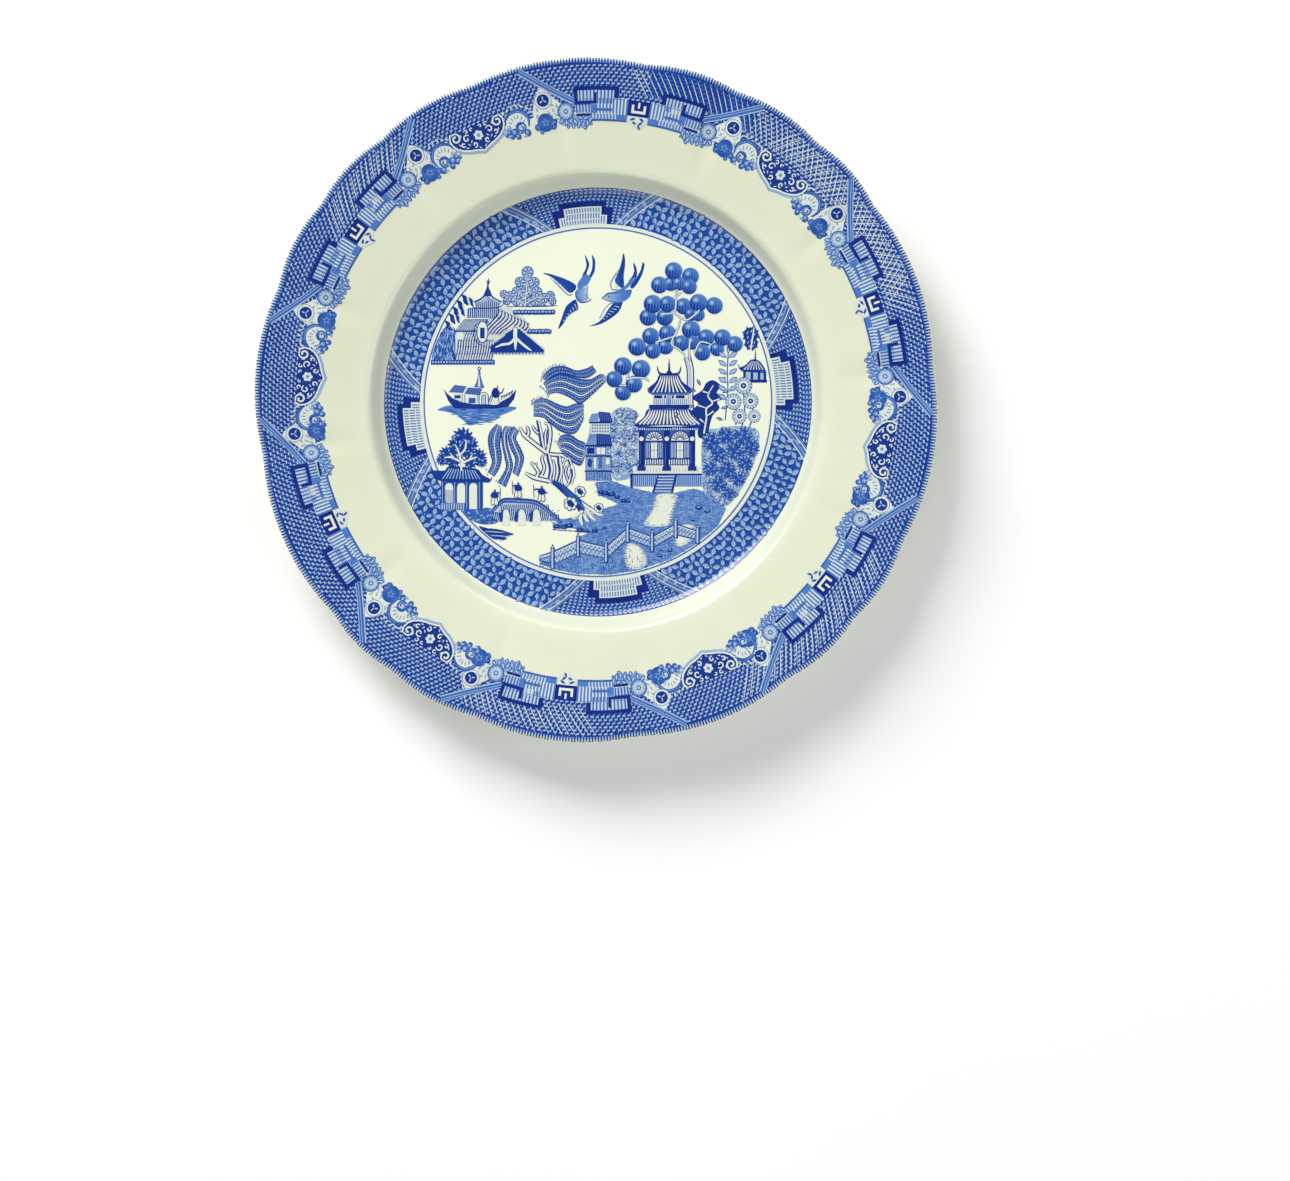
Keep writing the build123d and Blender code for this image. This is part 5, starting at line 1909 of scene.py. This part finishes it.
class Nodes:
    """A material's node tree, with short ways to add and join nodes."""

    def __init__(self, name):
        self.material = bpy.data.materials.new(name)
        self.material.use_nodes = True
        self.tree = self.material.node_tree
        self.shader = self.tree.nodes["Principled BSDF"]

    def add(self, kind, inputs=(), **settings):
        node = self.tree.nodes.new(kind)
        for key, value in settings.items():
            setattr(node, key, value)
        for socket, value in dict(inputs).items():
            if isinstance(value, bpy.types.NodeSocket):
                self.tree.links.new(value, node.inputs[socket])
            else:
                node.inputs[socket].default_value = value
        return node

    def join(self, output, socket):
        self.tree.links.new(output, self.shader.inputs[socket])

    def place(self):
        return self.add("ShaderNodeTexCoord").outputs["Object"]

    def noise(self, scale, detail=3.0, roughness=0.5):
        inputs = {"Vector": self.place(), "Scale": scale, "Detail": detail, "Roughness": roughness}
        return self.add("ShaderNodeTexNoise", inputs).outputs["Fac"]

    def ramp(self, value, *stops):
        node = self.add("ShaderNodeValToRGB", {"Fac": value})
        bar = node.color_ramp
        while len(bar.elements) < len(stops):
            bar.elements.new(0.5)
        for element, (position, colour) in zip(bar.elements, stops):
            element.position = position
            element.color = colour
        return node.outputs["Color"]

    def maths(self, operation, a, b):
        return self.add("ShaderNodeMath", {0: a, 1: b}, operation=operation).outputs[0]

    def span(self, value, low, high):
        """A 0 to 1 value, stretched to run from low to high."""
        inputs = {"Value": value, "To Min": low, "To Max": high}
        return self.add("ShaderNodeMapRange", inputs).outputs["Result"]

    def bump(self, value, strength, distance):
        inputs = {"Height": value, "Strength": strength, "Distance": distance}
        self.join(self.add("ShaderNodeBump", inputs).outputs["Normal"], "Normal")


GLAZE_IOR = 1.5
GREENER_FROM, GREENER_TO = 0.07, 0.098  # metres from the middle: the glaze turns greener between these


def glaze_material():
    """Clear glossy glaze over ivory china: whiter in the well, a faint drift of colour, barely rippled."""
    made = Nodes("glaze")
    out = made.add("ShaderNodeVectorMath", {0: made.place()}, operation="LENGTH").outputs["Value"]
    ledge = made.add(
        "ShaderNodeMapRange", {"Value": out, "From Min": GREENER_FROM, "From Max": GREENER_TO},
    ).outputs["Result"]
    drift = made.maths("ADD", made.maths("MULTIPLY", ledge, 0.6), made.span(made.noise(22, 4), 0.0, 0.4))
    made.join(made.ramp(drift, (0.15, srgb(232, 237, 216)), (0.85, srgb(216, 221, 197))), "Base Color")
    made.join(made.span(made.noise(60, 2), 0.1, 0.2), "Roughness")
    made.bump(made.noise(45, 2), 0.1, 0.0006)
    made.shader.inputs["IOR"].default_value = GLAZE_IOR
    return made.material


def ink_material():
    """Cobalt print under the glaze: its strength follows each mark's shade, with a grain of its own."""
    made = Nodes("cobalt_print")
    shade = made.add("ShaderNodeAttribute", attribute_name="shade").outputs["Fac"]
    grain = made.span(made.noise(1500, 2, 0.7), -0.1, 0.1)
    cloud = made.span(made.noise(90, 3), -0.09, 0.09)
    weight = made.maths("MULTIPLY", made.maths("ADD", grain, cloud), made.span(shade, 0.15, 1.0))
    strength = made.maths("ADD", shade, weight)
    colour = made.ramp(
        strength,
        (0.0, srgb(224, 228, 208)),
        (0.25, srgb(150, 177, 207)),
        (0.5, srgb(76, 121, 190)),
        (0.75, srgb(20, 71, 156)),
        (1.0, srgb(3, 30, 120)),
    )
    made.join(colour, "Base Color")
    made.join(made.span(made.noise(60, 2), 0.12, 0.22), "Roughness")
    made.shader.inputs["IOR"].default_value = GLAZE_IOR
    return made.material


def biscuit_material():
    """Bare fired clay, where the foot ring is wiped clean: matt, speckled and a little stained."""
    made = Nodes("biscuit")
    speck = made.noise(900, 5, 0.75)
    made.join(made.ramp(speck, (0.35, srgb(190, 178, 152)), (0.6, srgb(228, 220, 198))), "Base Color")
    made.join(made.span(made.noise(400, 3), 0.75, 0.95), "Roughness")
    made.bump(speck, 0.35, 0.0002)
    return made.material


def mesh_piece(name, points, faces, material):
    """A new object from points in millimetres."""
    mesh = bpy.data.meshes.new(name)
    mesh.from_pydata([(x * MM, y * MM, z * MM) for x, y, z in points], [], faces)
    mesh.polygons.foreach_set("use_smooth", [True] * len(mesh.polygons))
    mesh.materials.append(material)
    piece = bpy.data.objects.new(name, mesh)
    bpy.context.collection.objects.link(piece)
    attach(piece, "root")
    return piece


BODY_TURNS = 480
LOBED_FROM = 95.0  # the outline's lobes fade out at this radius


def spun(name, section, material, closed_ends=False):
    """A closed piece spun from a section: a function that gives the section at an angle.
    With closed ends the section starts and stops on the axis."""
    points, faces = [], []
    rings = [section(360 * turn / BODY_TURNS) for turn in range(BODY_TURNS)]
    size = len(rings[0])
    for turn, ring in enumerate(rings):
        for radius, z in ring:
            x, y = polar(360 * turn / BODY_TURNS, radius)
            points.append((x, y, z))
    for turn in range(BODY_TURNS):
        here_, next_ = turn * size, (turn + 1) % BODY_TURNS * size
        for step in range(size if not closed_ends else size - 1):
            other = (step + 1) % size
            faces.append((here_ + step, next_ + step, next_ + other, here_ + other))
    if closed_ends:
        first, last = len(points), len(points) + 1
        points.append((0, 0, rings[0][0][1]))
        points.append((0, 0, rings[0][-1][1]))
        for turn in range(BODY_TURNS):
            here_, next_ = turn * size, (turn + 1) % BODY_TURNS * size
            faces.append((first, next_, here_))
            faces.append((last, here_ + size - 1, next_ + size - 1))
    return mesh_piece(name, points, [face[::-1] for face in faces], material)


BACK = rounded(
    [
        (RIM_RADIUS, RIM_HEIGHT - LEDGE_THICKNESS),
        (91.1, 11.45),
        (85.8, 2.85),
        (79.9, FLOOR_UNDER),
        (78.4, BARE_TOP),
    ],
    [4.2, 6.0, 0.8],
)
BACK_R = np.array([point[0] for point in BACK])[::-1]
BACK_Z = np.array([point[1] for point in BACK])[::-1]


def plate_section(angle):
    """The glazed body's section at an angle, from the middle of the well round to the base."""
    edge = float(edge_radius(angle))
    inner = edge - EDGE_TURN
    radii = [4, 12, 22, 34, 46, 58, 68, 74, 77] + [r for r, _ in FACE if 77 < r < LOBED_FROM]
    radii += [LOBED_FROM + (inner - LOBED_FROM) * step / 16 for step in range(17)]
    radii += [inner + EDGE_TURN * math.sin(math.radians(turn)) for turn in (18, 36, 54, 70, 82)]
    where = np.array([polar(angle, radius) for radius in radii])
    top = height(where[:, 0], where[:, 1])
    line = list(zip(radii, (float(z) for z in top)))
    dip = float(np.interp(angle, TURNS, DIPS))
    rim_top = float(np.interp(edge, FACE_R, FACE_Z)) - dip
    line.append((edge, rim_top - EDGE_TURN))
    low = float(np.interp(edge, BACK_R, BACK_Z)) - dip
    line.append((edge, low + EDGE_TURN))
    for turn in (18, 36, 54, 72):
        swing = math.radians(turn)
        line.append((inner + EDGE_TURN * math.cos(swing), low + EDGE_TURN - EDGE_TURN * math.sin(swing)))
    for step in range(13):
        radius = inner + (LOBED_FROM - inner) * step / 12
        fade = min(max((radius - CREASE_START) / CREASE_RUN, 0), 1)
        line.append((radius, float(np.interp(radius, BACK_R, BACK_Z)) - dip * fade))
    line += [(r, z) for r, z in BACK if r < LOBED_FROM]
    line += [
        (77.9, BARE_TOP), (74.1, BARE_TOP), (73.6, BARE_TOP), (73.2, 1.4), (72.5, 1.95),
        (71.6, FLOOR_UNDER),
    ]
    line += [(r, FLOOR_UNDER) for r in (60, 45, 30, 15, 5)]
    return line


def foot_section(angle):
    """The bare foot ring's section, the same at every angle: a low band with softly rounded shoulders."""
    return [
        (74.1, 1.05), (74.35, 0.5), (74.75, 0.12), (75.1, 0.0), (76.9, 0.0), (77.25, 0.12), (77.65, 0.5),
        (77.9, 1.05),
    ]


MOST_SAG = LEVEL_STEP * 0.2  # a mark is cut finer until it follows the face this closely
CUTTING_ROUNDS = 6  # and at most this often
LIFT_CYCLE = 17  # marks of one level step through this many slightly different heights
LIFT_SPREAD = 0.6  # and the highest is this part of a level above the lowest
LEAST_AREA = 1e-6  # slivers smaller than this are left out


def ink_piece(art, material):
    """The mesh of one printed piece: its flat marks laid on the glazed face, level by level."""
    drawing = bmesh.new()
    lift = drawing.verts.layers.float.new("lift")
    tone = drawing.verts.layers.float.new("shade")
    for index, (points, shades, level) in enumerate(art.marks):
        corners = []
        for (x, y), shade in zip(points, shades):
            corner = drawing.verts.new((x, y, 0))
            corner[lift] = level + LIFT_SPREAD * (index % LIFT_CYCLE) / LIFT_CYCLE
            corner[tone] = shade
            corners.append(corner)
        drawing.faces.new(corners)
    drawing.normal_update()
    wide = [face for face in drawing.faces if len(face.verts) > 4]
    bmesh.ops.triangulate(drawing, faces=wide)
    for _ in range(CUTTING_ROUNDS):
        edges = list(drawing.edges)
        ends = np.array([[end.co[:2] for end in edge.verts] for edge in edges])
        ends_z = height(ends[:, :, 0], ends[:, :, 1])
        middle = ends.mean(axis=1)
        sag = np.abs(height(middle[:, 0], middle[:, 1]) - ends_z.mean(axis=1))
        bent = [edges[index] for index in np.flatnonzero(sag > MOST_SAG)]
        if not bent:
            break
        bmesh.ops.subdivide_edges(drawing, edges=bent, cuts=1)
        bmesh.ops.triangulate(drawing, faces=[face for face in drawing.faces if len(face.verts) > 4])
    places = np.array([vert.co[:2] for vert in drawing.verts])
    x, y = places[:, 0], places[:, 1]
    z = height(x, y) + LEVEL_STEP * np.array([vert[lift] for vert in drawing.verts])
    faces = [[vert.index for vert in face.verts] for face in drawing.faces if face.calc_area() > LEAST_AREA]
    shades = [vert[tone] for vert in drawing.verts]
    drawing.free()
    piece = mesh_piece(art.name, zip(x.tolist(), y.tolist(), z.tolist()), faces, material)
    mesh = piece.data
    mesh.attributes.new("shade", "FLOAT", "POINT").data.foreach_set("value", shades)
    mesh.normals_split_custom_set_from_vertices(face_normals(x, y).tolist())
    return piece


# ---------------------------------------------------------------- putting it together
glaze = glaze_material()
ink = ink_material()
biscuit = biscuit_material()

body = spun("glazed_body", plate_section, glaze, closed_ends=True)
foot = spun("bare_foot_ring", foot_section, biscuit)
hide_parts("main_glaze", "base_glaze")
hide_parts("biscuit_body")

draw_print()
printed = {art.name: ink_piece(art, ink) for art in Art.made}
for number in range(6):
    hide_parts(f"border_transfer_{number + 1}")
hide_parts("edge_transfer")
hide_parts("band_transfer")
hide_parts("line_transfer")
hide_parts("scene_transfer")

# ---------------------------------------------------------------- floor, lights and camera
FLOOR_SIDE = 4.0
floor_mesh = bpy.data.meshes.new("floor")
half = FLOOR_SIDE / 2
floor_mesh.from_pydata(
    [(-half, -half, 0), (half, -half, 0), (half, half, 0), (-half, half, 0)], [], [(0, 1, 2, 3)],
)
floor = bpy.data.objects.new("floor", floor_mesh)
bpy.context.collection.objects.link(floor)
paper = Nodes("floor_paper")
paper.join(
    paper.ramp(paper.noise(3, 2), (0.3, srgb(250, 250, 250)), (0.7, srgb(253, 253, 253))), "Base Color",
)
paper.shader.inputs["Roughness"].default_value = 0.9
floor_mesh.materials.append(paper.material)


def looking(place, aim):
    """A placing that looks from a place to an aim, with +Y upright in its view."""
    back = (Vector(place) - Vector(aim)).normalized()
    right = Vector((0, 1, 0)).cross(back).normalized()
    turned = Matrix((right, back.cross(right), back)).transposed().to_4x4()
    return Matrix.Translation(Vector(place)) @ turned


def lamp(name, place, size, power, colour):
    """A rectangular lamp that looks at the plate's middle."""
    data = bpy.data.lights.new(name, "AREA")
    data.shape = "RECTANGLE"
    data.size, data.size_y = size
    data.energy = power
    data.color = colour
    light = bpy.data.objects.new(name, data)
    light.matrix_world = looking(place, (0, 0, 0))
    bpy.context.collection.objects.link(light)


lamp("key", (-0.85, 1.3, 1.05), (1.3, 0.8), 40, (1.0, 0.99, 0.965))
lamp("right_fill", (1.5, -0.6, 1.2), (1.4, 1.4), 15, (0.97, 0.985, 1.0))
lamp("front_fill", (-0.6, -1.5, 1.2), (1.4, 1.2), 10, (0.97, 0.985, 1.0))
lamp("top_strip", (0.35, 1.7, 0.75), (1.5, 0.22), 5, (1.0, 1.0, 1.0))

world = bpy.data.worlds.new("studio")
world.use_nodes = True
world.node_tree.nodes["Background"].inputs["Color"].default_value = (1, 1, 1, 1)
world.node_tree.nodes["Background"].inputs["Strength"].default_value = 0.2
bpy.context.scene.world = world
bpy.context.scene.view_settings.view_transform = "Standard"

CAMERA_PLACE = (0.083, -0.059, 1.206)
CAMERA_AIM = (0.0195, -0.074, 0.020)
eye = bpy.data.cameras.new("camera")
eye.lens = 85
eye.sensor_width = 36
camera = bpy.data.objects.new("camera", eye)
camera.matrix_world = looking(CAMERA_PLACE, CAMERA_AIM)
bpy.context.collection.objects.link(camera)
bpy.context.scene.camera = camera
